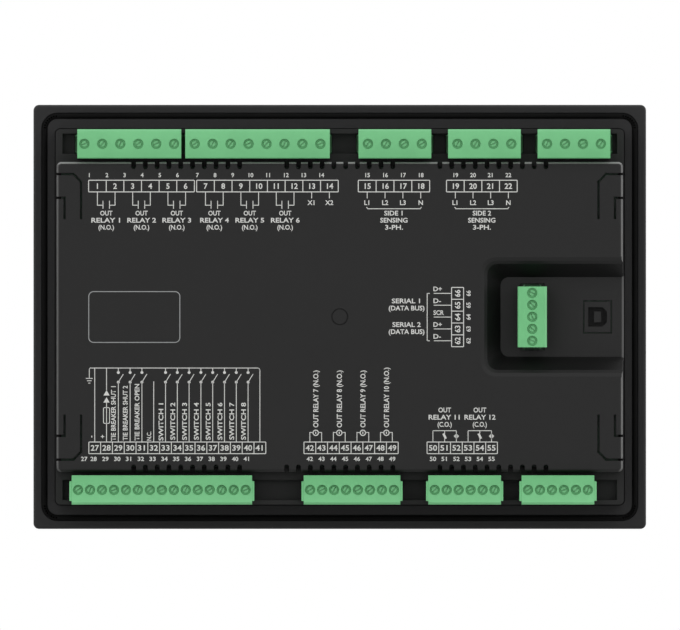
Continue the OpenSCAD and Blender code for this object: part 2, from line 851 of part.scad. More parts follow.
module clamp_cages() {
    place() color(metal_grey) for (b = blocks) at_poles(b) difference() {
        bar(cage_w, cage_d, cage_z + seat, cage_z + cage_h);
        translate([0, 0, funnel_z]) cube([cage_w - 1.2, cage_d + over, cage_h - 2.6], center = true);
        translate([0, 0, funnel_z]) cylinder(d = thread_d + 0.1, h = cage_h);
    }
}

// Screw of pole i, its slot turned as it was last tightened
module terminal_screw(turn) {
    z1 = plug_top - screw_sink;
    z0 = z1 - screw_head_h;
    difference() {
        union() {
            translate([0, 0, z0]) cylinder(d = screw_d, h = screw_head_h - screw_bevel);
            translate([0, 0, z1 - screw_bevel]) cylinder(d1 = screw_d, d2 = screw_flat, h = screw_bevel);
            translate([0, 0, funnel_z + 0.8]) cylinder(d = thread_d, h = z0 - funnel_z - 0.8);
        }
        rotate(turn) bar(screw_d + over, 0.5, z1 - 0.7, z1 + over);
    }
}

module terminal_screws() {
    place() color("#8fb99a") for (b = blocks, i = [0 : b[3] - 1])
        at(b) translate([(i - (b[3] - 1) / 2) * b[4], 0, 0]) terminal_screw(45 + 22 * sin(97 * i + b[0]));
}

module header_01_06() {
    header(upper[0]);
}

module header_07_14() {
    header(upper[1]);
}

module header_15_18() {
    header(upper[2]);
}

module header_19_22() {
    header(upper[3]);
}

module header_23_26() {
    header(upper[4]);
}

module header_27_41() {
    header(lower[0]);
}

module header_42_49() {
    header(lower[1]);
}

module header_50_55() {
    header(lower[2]);
}

module header_56_61() {
    header(lower[3]);
}

module header_62_66() {
    header(link);
}

module plug_01_06() {
    plug(upper[0]);
}

module plug_07_14() {
    plug(upper[1]);
}

module plug_15_18() {
    plug(upper[2]);
}

module plug_19_22() {
    plug(upper[3]);
}

module plug_23_26() {
    plug(upper[4]);
}

module plug_27_41() {
    plug(lower[0]);
}

module plug_42_49() {
    plug(lower[1]);
}

module plug_50_55() {
    plug(lower[2]);
}

module plug_56_61() {
    plug(lower[3]);
}

module plug_62_66() {
    plug(link);
}

front_bezel();
fascia_overlay();
display_pane();
display_frame();
display_glass();
display_board();
key_switches();
key_stop();
key_manual();
key_auto();
key_open();
key_close();
key_lamp_test();
key_up();
key_down();
key_confirm();
key_page();
key_mute();
indicator_lenses();
indicator_lamps();
panel_gasket();
rear_housing();
main_board();
board_screws();
board_link();
relays();
capacitors();
supply_choke();
processor();
clock_battery();
data_socket_shell();
data_socket_tongue();
header_pins();
terminal_screws();
clamp_cages();
header_01_06();
header_07_14();
header_15_18();
header_19_22();
header_23_26();
header_27_41();
header_42_49();
header_50_55();
header_56_61();
header_62_66();
plug_01_06();
plug_07_14();
plug_15_18();
plug_19_22();
plug_23_26();
plug_27_41();
plug_42_49();
plug_50_55();
plug_56_61();
plug_62_66();
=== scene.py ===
import math
import bpy
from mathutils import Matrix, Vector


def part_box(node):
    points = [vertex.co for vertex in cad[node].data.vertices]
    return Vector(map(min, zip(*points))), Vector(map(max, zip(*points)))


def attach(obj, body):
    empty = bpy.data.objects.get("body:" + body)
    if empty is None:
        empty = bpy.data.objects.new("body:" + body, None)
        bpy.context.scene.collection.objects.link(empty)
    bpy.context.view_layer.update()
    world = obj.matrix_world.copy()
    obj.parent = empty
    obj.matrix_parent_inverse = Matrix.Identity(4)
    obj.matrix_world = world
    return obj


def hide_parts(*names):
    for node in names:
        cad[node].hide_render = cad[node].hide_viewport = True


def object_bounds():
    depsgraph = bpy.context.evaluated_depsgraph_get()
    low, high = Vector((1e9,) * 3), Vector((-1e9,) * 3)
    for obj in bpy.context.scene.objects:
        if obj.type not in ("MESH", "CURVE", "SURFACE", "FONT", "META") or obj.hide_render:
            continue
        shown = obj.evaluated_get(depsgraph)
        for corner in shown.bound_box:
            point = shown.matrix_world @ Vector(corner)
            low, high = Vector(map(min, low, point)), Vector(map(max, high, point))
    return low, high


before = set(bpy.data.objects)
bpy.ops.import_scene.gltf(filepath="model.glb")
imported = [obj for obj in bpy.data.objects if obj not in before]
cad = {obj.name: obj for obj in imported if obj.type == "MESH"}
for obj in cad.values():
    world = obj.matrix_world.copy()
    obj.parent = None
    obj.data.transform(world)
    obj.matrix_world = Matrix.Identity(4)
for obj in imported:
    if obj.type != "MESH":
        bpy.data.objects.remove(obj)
cadBox = [list(corner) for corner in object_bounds()]
mm = 0.001
print("frame loaded:", len(cad), "nodes")


# An sRGB hex colour as linear light
def linear(colour):
    parts = [int(colour[i:i + 2], 16) / 255 for i in (1, 3, 5)]
    return [c / 12.92 if c <= 0.04045 else ((c + 0.055) / 1.055) ** 2.4 for c in parts] + [1]


# A node with its settings and links, each under an input's name or number or a property's name
def addNode(tree, kind, settings=None, links=None):
    node = tree.nodes.new(kind)
    for name, value in (settings or {}).items():
        if isinstance(name, int) or name in node.inputs:
            node.inputs[name].default_value = value
        else:
            setattr(node, name, value)
    for name, source in (links or {}).items():
        tree.links.new(source, node.inputs[name])
    return node


def newMaterial(name):
    material = bpy.data.materials.new(name)
    material.use_nodes = True
    tree = material.node_tree
    tree.nodes.clear()
    return material, tree


# How strong the painted highlight is at a point: a lighter colour that stands in for light caught
# on the rounded edge of the raised back, most on its upper side, and on the open edge of the pocket
def rubbedRim(tree, place, rimHighlight):
    normal = addNode(tree, "ShaderNodeNewGeometry").outputs["True Normal"]
    slope = addNode(tree, "ShaderNodeSeparateXYZ", {}, {"Vector": normal}).outputs
    spot = addNode(tree, "ShaderNodeSeparateXYZ", {}, {"Vector": place}).outputs
    away = {axis: addNode(tree, "ShaderNodeMath", {"operation": "ABSOLUTE"},
                          {0: spot[axis]}).outputs["Value"] for axis in "XZ"}
    fades = {}
    for name, source, unit in (
            ("high", spot["Z"], mm), ("wide", away["X"], mm), ("leaning", slope["Y"], 1),
            ("notUpright", slope["Y"], 1), ("outer", spot["Y"], mm), ("pocketEdge", spot["X"], mm),
            ("pocketSpan", away["Z"], mm), ("pocketFloor", spot["Y"], mm),
            ("pocketTop", spot["Y"], mm)):
        none, full = rimHighlight[name]
        fades[name] = addNode(tree, "ShaderNodeMapRange",
                              {"From Min": none * unit, "From Max": full * unit},
                              {"Value": source}).outputs["Result"]
    rounded = [slope["Y"], fades["leaning"], fades["notUpright"], fades["outer"]]
    most = None
    for strength, parts in (
            (rimHighlight["upper"], [slope["Z"], fades["high"]] + rounded),
            (rimHighlight["left"], [slope["X"], fades["wide"]] + rounded),
            (-rimHighlight["right"], [slope["X"], fades["wide"]] + rounded),
            (rimHighlight["pocket"], [fades["pocketEdge"], fades["pocketSpan"], fades["pocketFloor"],
                             fades["pocketTop"]])):
        share = addNode(tree, "ShaderNodeMath", {"operation": "MULTIPLY", 1: strength},
                        {0: parts[0]})
        for part in parts[1:]:
            share = addNode(tree, "ShaderNodeMath", {"operation": "MULTIPLY"},
                            {0: share.outputs["Value"], 1: part})
        if most:
            share = addNode(tree, "ShaderNodeMath", {"operation": "MAXIMUM", "use_clamp": True},
                            {0: most.outputs["Value"], 1: share.outputs["Value"]})
        most = share
    return most.outputs["Value"]


# Moulded plastics: a spark-eroded grain from the tool, a tenth as deep as it is wide, slow colour
# drift from the melt, and edges with a small radius. The real grain of about 0.1 mm is too fine
# to show, so it is drawn coarser.
def mouldedPlastic(name, look):
    material, tree = newMaterial(name)
    grainWide = look["grainMm"] * mm
    place = addNode(tree, "ShaderNodeTexCoord").outputs["Object"]
    grain = addNode(tree, "ShaderNodeTexNoise",
                    {"Scale": 1 / grainWide, "Detail": 3, "Roughness": 0.6}, {"Vector": place})
    drift = addNode(tree, "ShaderNodeTexNoise",
                    {"Scale": 1 / (look["driftMm"] * mm), "Detail": 2, "Roughness": 0.5},
                    {"Vector": place})
    shade = addNode(tree, "ShaderNodeValToRGB", {}, {"Fac": drift.outputs["Fac"]})
    shade.color_ramp.elements[0].position = 0.3
    shade.color_ramp.elements[0].color = linear(look["dark"])
    shade.color_ramp.elements[1].position = 0.7
    shade.color_ramp.elements[1].color = linear(look["light"])
    colour = shade.outputs["Color"]
    # Painted highlight: the rim of the raised back gets a lighter colour where light would catch it
    if "rimHighlight" in look:
        rimHighlight = look["rimHighlight"]
        rimHighlighted = addNode(tree, "ShaderNodeMix", {"data_type": "RGBA", 7: linear(rimHighlight["colour"])},
                         {0: rubbedRim(tree, place, rimHighlight), 6: colour})
        colour = rimHighlighted.outputs[2]
    # Painted light: paler towards the outer side of each row of plugs, for how light falls on their
    # faces
    if "paintedOuterLight" in look:  # paler towards the outer side of a row of plugs
        paintedOuterLight = look["paintedOuterLight"]
        spot = addNode(tree, "ShaderNodeSeparateXYZ", {}, {"Vector": place}).outputs
        away = addNode(tree, "ShaderNodeMath", {"operation": "ABSOLUTE"}, {0: spot["Z"]})
        share = addNode(tree, "ShaderNodeMapRange",
                        {"From Min": paintedOuterLight["inner"] * mm, "From Max": paintedOuterLight["outer"] * mm,
                         "To Max": paintedOuterLight["share"]}, {"Value": away.outputs["Value"]})
        outerLit = addNode(tree, "ShaderNodeMix", {"data_type": "RGBA", 7: linear(paintedOuterLight["colour"])},
                        {0: share.outputs["Result"], 6: colour})
        colour = outerLit.outputs[2]
    polish = addNode(tree, "ShaderNodeMapRange",
                     {"From Min": 0.3, "From Max": 0.7, "To Min": look["roughness"] - 0.05,
                      "To Max": look["roughness"] + 0.05}, {"Value": grain.outputs["Fac"]})
    edge = addNode(tree, "ShaderNodeBevel", {"samples": 6, "Radius": look["edgeMm"] * mm})
    bump = addNode(tree, "ShaderNodeBump",
                   {"Strength": look["grainStrength"], "Distance": grainWide * 0.1},
                   {"Height": grain.outputs["Fac"], "Normal": edge.outputs["Normal"]})
    surface = addNode(tree, "ShaderNodeBsdfPrincipled",
                      {"IOR": look["ior"], "Specular IOR Level": look["gloss"]},
                      {"Base Color": colour, "Roughness": polish.outputs["Result"],
                       "Normal": bump.outputs["Normal"]})
    addNode(tree, "ShaderNodeOutputMaterial", {}, {"Surface": surface.outputs["BSDF"]})
    return material


# Plated metals: a base metal under a thin plating, with a slightly uneven shine and rolling or
# turning marks, which are drawn coarser than the real ones so that they show
def platedMetal(name, look):
    material, tree = newMaterial(name)
    markWide = look["markMm"] * mm
    place = addNode(tree, "ShaderNodeTexCoord").outputs["Object"]
    stretch = addNode(tree, "ShaderNodeMapping", {"Scale": look["stretch"]}, {"Vector": place})
    marks = addNode(tree, "ShaderNodeTexNoise",
                    {"Scale": 1 / markWide, "Detail": 3, "Roughness": 0.65},
                    {"Vector": stretch.outputs["Vector"]})
    shade = addNode(tree, "ShaderNodeValToRGB", {}, {"Fac": marks.outputs["Fac"]})
    shade.color_ramp.elements[0].position = 0.25
    shade.color_ramp.elements[0].color = linear(look["dark"])
    shade.color_ramp.elements[1].position = 0.75
    shade.color_ramp.elements[1].color = linear(look["light"])
    polish = addNode(tree, "ShaderNodeMapRange",
                     {"From Min": 0.3, "From Max": 0.7, "To Min": look["roughness"] - 0.07,
                      "To Max": look["roughness"] + 0.07}, {"Value": marks.outputs["Fac"]})
    edge = addNode(tree, "ShaderNodeBevel", {"samples": 4, "Radius": look["edgeMm"] * mm})
    bump = addNode(tree, "ShaderNodeBump", {"Strength": 0.2, "Distance": markWide * 0.1},
                   {"Height": marks.outputs["Fac"], "Normal": edge.outputs["Normal"]})
    surface = addNode(tree, "ShaderNodeBsdfPrincipled", {"Metallic": look["metallic"]},
                      {"Base Color": shade.outputs["Color"], "Roughness": polish.outputs["Result"],
                       "Normal": bump.outputs["Normal"]})
    addNode(tree, "ShaderNodeOutputMaterial", {}, {"Surface": surface.outputs["BSDF"]})
    return material


# Smooth lacquers, films and inks: a levelled skin with a faint orange peel
def smoothSkin(name, look):
    material, tree = newMaterial(name)
    peelWide = look["peelMm"] * mm
    place = addNode(tree, "ShaderNodeTexCoord").outputs["Object"]
    peel = addNode(tree, "ShaderNodeTexNoise",
                   {"Scale": 1 / peelWide, "Detail": 2, "Roughness": 0.5}, {"Vector": place})
    shade = addNode(tree, "ShaderNodeValToRGB", {}, {"Fac": peel.outputs["Fac"]})
    shade.color_ramp.elements[0].position = 0.3
    shade.color_ramp.elements[0].color = linear(look["dark"])
    shade.color_ramp.elements[1].position = 0.7
    shade.color_ramp.elements[1].color = linear(look["light"])
    bump = addNode(tree, "ShaderNodeBump",
                   {"Strength": look["peelStrength"], "Distance": peelWide * 0.05},
                   {"Height": peel.outputs["Fac"]})
    surface = addNode(tree, "ShaderNodeBsdfPrincipled",
                      {"IOR": look["ior"], "Roughness": look["roughness"],
                       "Specular IOR Level": look["gloss"],
                       "Specular Tint": linear(look.get("coat", "#ffffff")),
                       "Transmission Weight": look.get("clear", 0),
                       "Alpha": look.get("cover", 1)},
                      {"Base Color": shade.outputs["Color"], "Normal": bump.outputs["Normal"]})
    addNode(tree, "ShaderNodeOutputMaterial", {}, {"Surface": surface.outputs["BSDF"]})
    return material


# Black PC-ABS of the rear housing: near-neutral black with a fine matt grain, so that flat faces
# stay even and only the rounded edges catch light. The rim of the raised back is painted paler, a
# painted highlight that stands in for the light on its rounded edge.
housingAbs = mouldedPlastic("MouldedAbsHousing", {
    "dark": "#0d0d0d", "light": "#0f0f0f", "roughness": 0.5, "ior": 1.5, "gloss": 0.228,
    "grainMm": 0.5, "grainStrength": 0.2, "driftMm": 30, "edgeMm": 0.3,
    "rimHighlight": {
        # The painted highlight's colour, and its strength on the upper, left and right rims and the
        # pocket edge
        "colour": "#8c8c8c", "upper": 2.0, "left": 0.52, "right": 0.96, "pocket": 0.3,
        # From where each part of the rim starts to where it is full, in millimetres
        "high": [64.3, 64.7], "wide": [118.1, 118.5], "outer": [38.6, 38.9],
        "pocketEdge": [-119.6, -119.8], "pocketSpan": [20.5, 20.1],
        "pocketFloor": [26.6, 26.8], "pocketTop": [28.1, 27.6],
        # The same for how straight a face looks back, from 0 on an upright wall to 1
        "leaning": [0.99, 0.9], "notUpright": [0.1, 0.3]}})

# Black ABS of the bezel: the same grain, a little darker and shinier
bezelAbs = mouldedPlastic("MouldedAbsBezel", {
    "dark": "#0a0a0b", "light": "#0c0c0d", "roughness": 0.52, "ior": 1.5, "gloss": 0.28,
    "grainMm": 0.5, "grainStrength": 0.16, "driftMm": 40, "edgeMm": 0.3})

# Green flame-retardant polyamide of the plugs: an opaque mint green with a soft satin shine, and
# a painted light that makes it a little paler towards the wire entries
polyamide = {"ior": 1.53, "grainMm": 0.6, "grainStrength": 0.12, "driftMm": 12}
plugPolyamide = mouldedPlastic("MouldedPolyamidePlug", {
    **polyamide, "dark": "#65ad76", "light": "#6cb67d", "roughness": 0.42, "gloss": 0.25,
    "edgeMm": 0.25, "paintedOuterLight": {"colour": "#7dca8f", "inner": 68, "outer": 79.5, "share": 0.5}})

# The plugs of the finer pitch are another series, moulded a little paler, with the same painted
# light
finePolyamide = mouldedPlastic("MouldedPolyamideFinePlug", {
    **polyamide, "dark": "#6ab47b", "light": "#70bc81", "roughness": 0.42, "gloss": 0.25,
    "edgeMm": 0.25, "paintedOuterLight": {"colour": "#8cd79d", "inner": 68, "outer": 79.5, "share": 0.5}})

# The headers are a deeper, duller green than the plugs
headerPolyamide = mouldedPlastic("MouldedPolyamideHeader", {
    **polyamide, "dark": "#3a6b45", "light": "#427650", "roughness": 0.5, "gloss": 0.3,
    "edgeMm": 0.15})

# The seats round the screws are the clamps' own inserts, coloured a deeper green than the plugs as
# painted shade of the bores
seatShadePolyamide = mouldedPlastic("PolyamideSeatPaintedShade", {
    **polyamide, "dark": "#559964", "light": "#5ca06b", "roughness": 0.5, "gloss": 0.25,
    "edgeMm": 0.1})

# PBT of the data socket: plain black, deeper and a little smoother than the housing
socketPbt = mouldedPlastic("MouldedPbtSocket", {
    "dark": "#060606", "light": "#080808", "roughness": 0.45, "ior": 1.55, "gloss": 0.21,
    "grainMm": 0.4, "grainStrength": 0.1, "driftMm": 8, "edgeMm": 0.1})

# ABS key caps: mid grey, stop red and close green, with a satin that fingers keep polished
keySatin = {"ior": 1.5, "gloss": 0.4, "grainMm": 0.5, "grainStrength": 0.12, "driftMm": 10,
            "edgeMm": 0.3}
keyAbsGrey = mouldedPlastic("MouldedAbsKeyGrey", {
    **keySatin, "dark": "#54575b", "light": "#5a5d61", "roughness": 0.4})
keyAbsRed = mouldedPlastic("MouldedAbsKeyRed", {
    **keySatin, "dark": "#b0221b", "light": "#bb2820", "roughness": 0.38})
keyAbsGreen = mouldedPlastic("MouldedAbsKeyGreen", {
    **keySatin, "dark": "#2c8a45", "light": "#32944c", "roughness": 0.38})

# Black switch and link mouldings inside, a plain glossier nylon
switchNylon = mouldedPlastic("MouldedNylonSwitch", {
    "dark": "#191919", "light": "#1c1c1c", "roughness": 0.35, "ior": 1.53, "gloss": 0.5,
    "grainMm": 0.3, "grainStrength": 0.1, "driftMm": 6, "edgeMm": 0.15})

# Blue PBT relay cases: smooth and glossy from a polished tool
relayPbt = mouldedPlastic("MouldedPbtRelay", {
    "dark": "#27487d", "light": "#2c5088", "roughness": 0.25, "ior": 1.55, "gloss": 0.5,
    "grainMm": 0.8, "grainStrength": 0.05, "driftMm": 15, "edgeMm": 0.4})

# Epoxy chip package: dull black with a fine sandy mould finish
chipEpoxy = mouldedPlastic("MouldedEpoxyChip", {
    "dark": "#18181a", "light": "#1d1d1f", "roughness": 0.6, "ior": 1.55, "gloss": 0.4,
    "grainMm": 0.3, "grainStrength": 0.4, "driftMm": 5, "edgeMm": 0.1})

# Closed-cell EPDM sealing cord: soft black with small pores, the dullest surface of all
gasketEpdm = mouldedPlastic("ExtrudedEpdmGasket", {
    "dark": "#080808", "light": "#0b0b0b", "roughness": 0.8, "ior": 1.5, "gloss": 0.08,
    "grainMm": 0.6, "grainStrength": 0.8, "driftMm": 5, "edgeMm": 0.4})

# Varnished choke: copper winding and ferrite under a dark dipped varnish
chokeVarnish = mouldedPlastic("DippedVarnishChoke", {
    "dark": "#2c2420", "light": "#3a3430", "roughness": 0.3, "ior": 1.52, "gloss": 0.5,
    "grainMm": 1.5, "grainStrength": 0.6, "driftMm": 6, "edgeMm": 1.0})

# Zinc-plated steel terminal screws, coloured a pale green-grey near the plugs' green, softly bright
screwZinc = platedMetal("GreenGreyZincScrew", {
    "dark": "#5a9a68", "light": "#6aab78", "roughness": 0.5, "metallic": 0.5,
    "stretch": (1, 1, 1), "markMm": 0.5, "edgeMm": 0.12})

# Tinned brass of pins and clamp cages: pale grey, drawn lengthwise through the die
tinnedBrass = platedMetal("TinnedBrass", {
    "dark": "#a9acb0", "light": "#cdd0d3", "roughness": 0.35, "metallic": 1.0,
    "stretch": (1, 0.15, 1), "markMm": 0.3, "edgeMm": 0.1})

# Tin-plated folded sheet round the display: fine rolling lines across
tinPlate = platedMetal("RolledTinPlate", {
    "dark": "#9b9da1", "light": "#b6b8bb", "roughness": 0.4, "metallic": 1.0,
    "stretch": (0.05, 1, 1), "markMm": 0.4, "edgeMm": 0.2})

# Nickel-plated steel can of the clock battery: bright, turned
nickelSteel = platedMetal("NickelPlatedCan", {
    "dark": "#b4b3ae", "light": "#d2d1cc", "roughness": 0.28, "metallic": 1.0,
    "stretch": (1, 1, 1), "markMm": 0.6, "edgeMm": 0.3})

# Textured polyester fascia film: charcoal, with a fine velvet finish that spreads reflections
fasciaFilm = smoothSkin("TexturedPolyesterFilm", {
    "dark": "#181a1c", "light": "#1c1e20", "roughness": 0.5, "ior": 1.57, "gloss": 0.2,
    "peelMm": 0.6, "peelStrength": 0.3})

# Smoked cast acrylic window with an anti-reflection coat: lets a little of the display through,
# and mirrors a faint violet-blue
windowAcrylic = smoothSkin("SmokedCastAcrylic", {
    "dark": "#0b0d10", "light": "#0d0f12", "roughness": 0.16, "ior": 1.49, "gloss": 0.3,
    "coat": "#b4b6d0", "peelMm": 60, "peelStrength": 0.02, "cover": 0.85})

# Polariser of the switched-off display: very dark blue-grey, satin
displayPolariser = smoothSkin("AntiglarePolariser", {
    "dark": "#10151a", "light": "#12181e", "roughness": 0.35, "ior": 1.5, "gloss": 0.1,
    "peelMm": 4, "peelStrength": 0.02})

# Frosted polycarbonate light pipes: milky, lit only by the room
frostedPolycarbonate = smoothSkin("FrostedPolycarbonate", {
    "dark": "#c9cecd", "light": "#d9dddc", "roughness": 0.5, "ior": 1.58, "gloss": 0.5,
    "peelMm": 0.4, "peelStrength": 0.2, "clear": 0.35})

# Green solder mask over glass-epoxy board: glossy, with the weave just telegraphing through
solderMask = smoothSkin("SolderMaskBoard", {
    "dark": "#174a2b", "light": "#1e5c36", "roughness": 0.25, "ior": 1.52, "gloss": 0.5,
    "peelMm": 1.2, "peelStrength": 0.3})

# Epoxy packages of the indicator lamps: creamy white and smooth
lampPackage = smoothSkin("WhiteLampPackage", {
    "dark": "#e2dcc6", "light": "#ece7d3", "roughness": 0.35, "ior": 1.55, "gloss": 0.5,
    "peelMm": 0.5, "peelStrength": 0.1})

# PVC shrink sleeve of the capacitors: dark blue-black, tight and glossy
shrinkSleeve = smoothSkin("ShrinkSleevePvc", {
    "dark": "#1b1f2a", "light": "#222736", "roughness": 0.2, "ior": 1.53, "gloss": 0.5,
    "peelMm": 3, "peelStrength": 0.2})

# White two-part screen ink: flat white with a slightly uneven film
whiteInk = smoothSkin("ScreenPrintWhiteInk", {
    "dark": "#c6c6c4", "light": "#d4d4d2", "roughness": 0.55, "ior": 1.5, "gloss": 0.3,
    "peelMm": 0.8, "peelStrength": 0.1})

# Grey ink of the label frame and the fascia's rules, as flat as the white
greyInk = smoothSkin("ScreenPrintGreyInk", {
    "dark": "#8f9192", "light": "#9a9c9d", "roughness": 0.55, "ior": 1.5, "gloss": 0.3,
    "peelMm": 0.8, "peelStrength": 0.1})

finishes = {
    "front_bezel": bezelAbs, "rear_housing": housingAbs, "panel_gasket": gasketEpdm,
    "fascia_overlay": fasciaFilm, "display_pane": windowAcrylic, "display_frame": tinPlate,
    "display_glass": displayPolariser, "display_board": solderMask, "main_board": solderMask,
    "key_switches": switchNylon, "board_link": switchNylon, "key_stop": keyAbsRed,
    "key_close": keyAbsGreen, "indicator_lenses": frostedPolycarbonate,
    "indicator_lamps": lampPackage, "board_screws": tinnedBrass, "relays": relayPbt,
    "capacitors": shrinkSleeve, "supply_choke": chokeVarnish, "processor": chipEpoxy,
    "clock_battery": nickelSteel, "data_socket_shell": socketPbt,
    "data_socket_tongue": socketPbt, "header_pins": tinnedBrass, "clamp_cages": tinnedBrass,
    "terminal_screws": screwZinc, "plug_27_41": finePolyamide, "plug_42_49": finePolyamide,
    "plug_50_55": finePolyamide, "plug_56_61": finePolyamide, "plug_62_66": finePolyamide,
}
# The other nodes take their family's finish, by the first word of their name
familyFinishes = {"plug": plugPolyamide, "header": headerPolyamide, "key": keyAbsGrey}
for name, part in cad.items():
    part.data.materials.clear()
    part.data.materials.append(finishes.get(name) or familyFinishes[name.split("_")[0]])
print("materials set")


# The corners of a node's box, and its middle as seen from the front, in millimetres
def boxOf(node):
    return [[v / mm for v in corner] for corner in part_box(node)]


def middleOf(node):
    low, high = boxOf(node)
    return (low[0] + high[0]) / 2, (low[2] + high[2]) / 2


# Drawings for the printed marks are flat, in millimetres, x to the right and y up, and are stood
# up on their surface when they are finished
def beginDrawing(name):
    bpy.ops.object.select_all(action="DESELECT")
    bpy.ops.mesh.primitive_plane_add(size=mm)
    sheet = bpy.context.object
    sheet.name = name
    bpy.ops.object.mode_set(mode="EDIT")
    bpy.ops.mesh.delete(type="VERT")
    return sheet


def stroke(x1, y1, x2, y2, width):
    middle = ((x1 + x2) / 2 * mm, (y1 + y2) / 2 * mm, 0)
    bpy.ops.mesh.primitive_plane_add(size=mm, location=middle)
    bpy.ops.transform.resize(value=(math.hypot(x2 - x1, y2 - y1), width, 1), center_override=middle)
    slope = math.atan2(y2 - y1, x2 - x1)
    if slope:
        bpy.ops.transform.rotate(value=-slope, orient_axis="Z", center_override=middle)


def patch(x1, y1, x2, y2):
    stroke(x1, (y1 + y2) / 2, x2, (y1 + y2) / 2, y2 - y1)


# A line round a box, centred on its edges
def frameBox(x1, y1, x2, y2, width, corner=0):
    patch(x1 - width / 2, y1 - width / 2, x2 + width / 2, y2 + width / 2)
    if corner:
        bpy.ops.mesh.bevel(offset=corner * mm, segments=5, affect="VERTICES")
    bpy.ops.mesh.inset(thickness=width * mm)
    bpy.ops.mesh.delete(type="FACE")


def path(points, width):
    for (x1, y1), (x2, y2) in zip(points, points[1:]):
        long = math.hypot(x2 - x1, y2 - y1)
        alongX, alongY = (x2 - x1) / long * width / 2, (y2 - y1) / long * width / 2
        stroke(x1 - alongX, y1 - alongY, x2 + alongX, y2 + alongY, width)


def dot(x, y, radius, corners=14, turn=0):
    bpy.ops.mesh.primitive_circle_add(
        vertices=corners, radius=radius * mm, fill_type="NGON",
        location=(x * mm, y * mm, 0), rotation=(0, 0, turn))


def ring(x, y, radius, width, corners=20):
    dot(x, y, radius, corners)
    bpy.ops.mesh.inset(thickness=width * mm)
    bpy.ops.mesh.delete(type="FACE")


# Everything drawn so far becomes that thick
def thicken(high):
    bpy.ops.mesh.select_all(action="SELECT")
    bpy.ops.mesh.extrude_region_move(TRANSFORM_OT_translate={"value": (0, 0, high * mm)})
    bpy.ops.mesh.select_all(action="SELECT")
    bpy.ops.mesh.normals_make_consistent(inside=False)


lettering = {"capitalShare": 0.7, "bolder": 0.02, "curveSteps": 3}
upward = math.pi / 2


# A word with its capitals that high, centred on x and y, and squeezed to a width if one is given
def word(text, x, y, height, width=None, turn=0):
    x += math.sin(turn) * height / 2
    y -= math.cos(turn) * height / 2
    bpy.ops.object.text_add(location=(x * mm, y * mm, 0), rotation=(0, 0, turn))
    letters = bpy.context.object
    letters.data.body = text
    letters.data.align_x = "CENTER"
    letters.data.resolution_u = lettering["curveSteps"]
    letters.data.offset = lettering["bolder"]
    bpy.context.view_layer.update()
    tall = height / lettering["capitalShare"] * mm
    letters.scale = (width * mm / letters.dimensions.x if width else tall, tall, 1)
    return letters


# A finished drawing: its words joined to it, stood up on its surface with its finish, attached to a
# body
def endDrawing(sheet, words, finish, surface, turn, body):
    bpy.ops.object.select_all(action="DESELECT")
    for letters in words:
        letters.select_set(True)
    if words:
        bpy.context.view_layer.objects.active = words[0]
        bpy.ops.object.convert(target="MESH")
    sheet.select_set(True)
    bpy.context.view_layer.objects.active = sheet
    if words:
        bpy.ops.object.join()
    sheet.rotation_euler = (math.pi / 2, 0, turn)
    sheet.location = (0, surface, 0)
    bpy.ops.object.transform_apply(location=True, rotation=True, scale=True)
    sheet.data.materials.clear()
    sheet.data.materials.append(finish)
    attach(sheet, body)


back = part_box("rear_housing")[1][1]  # the face of the raised back

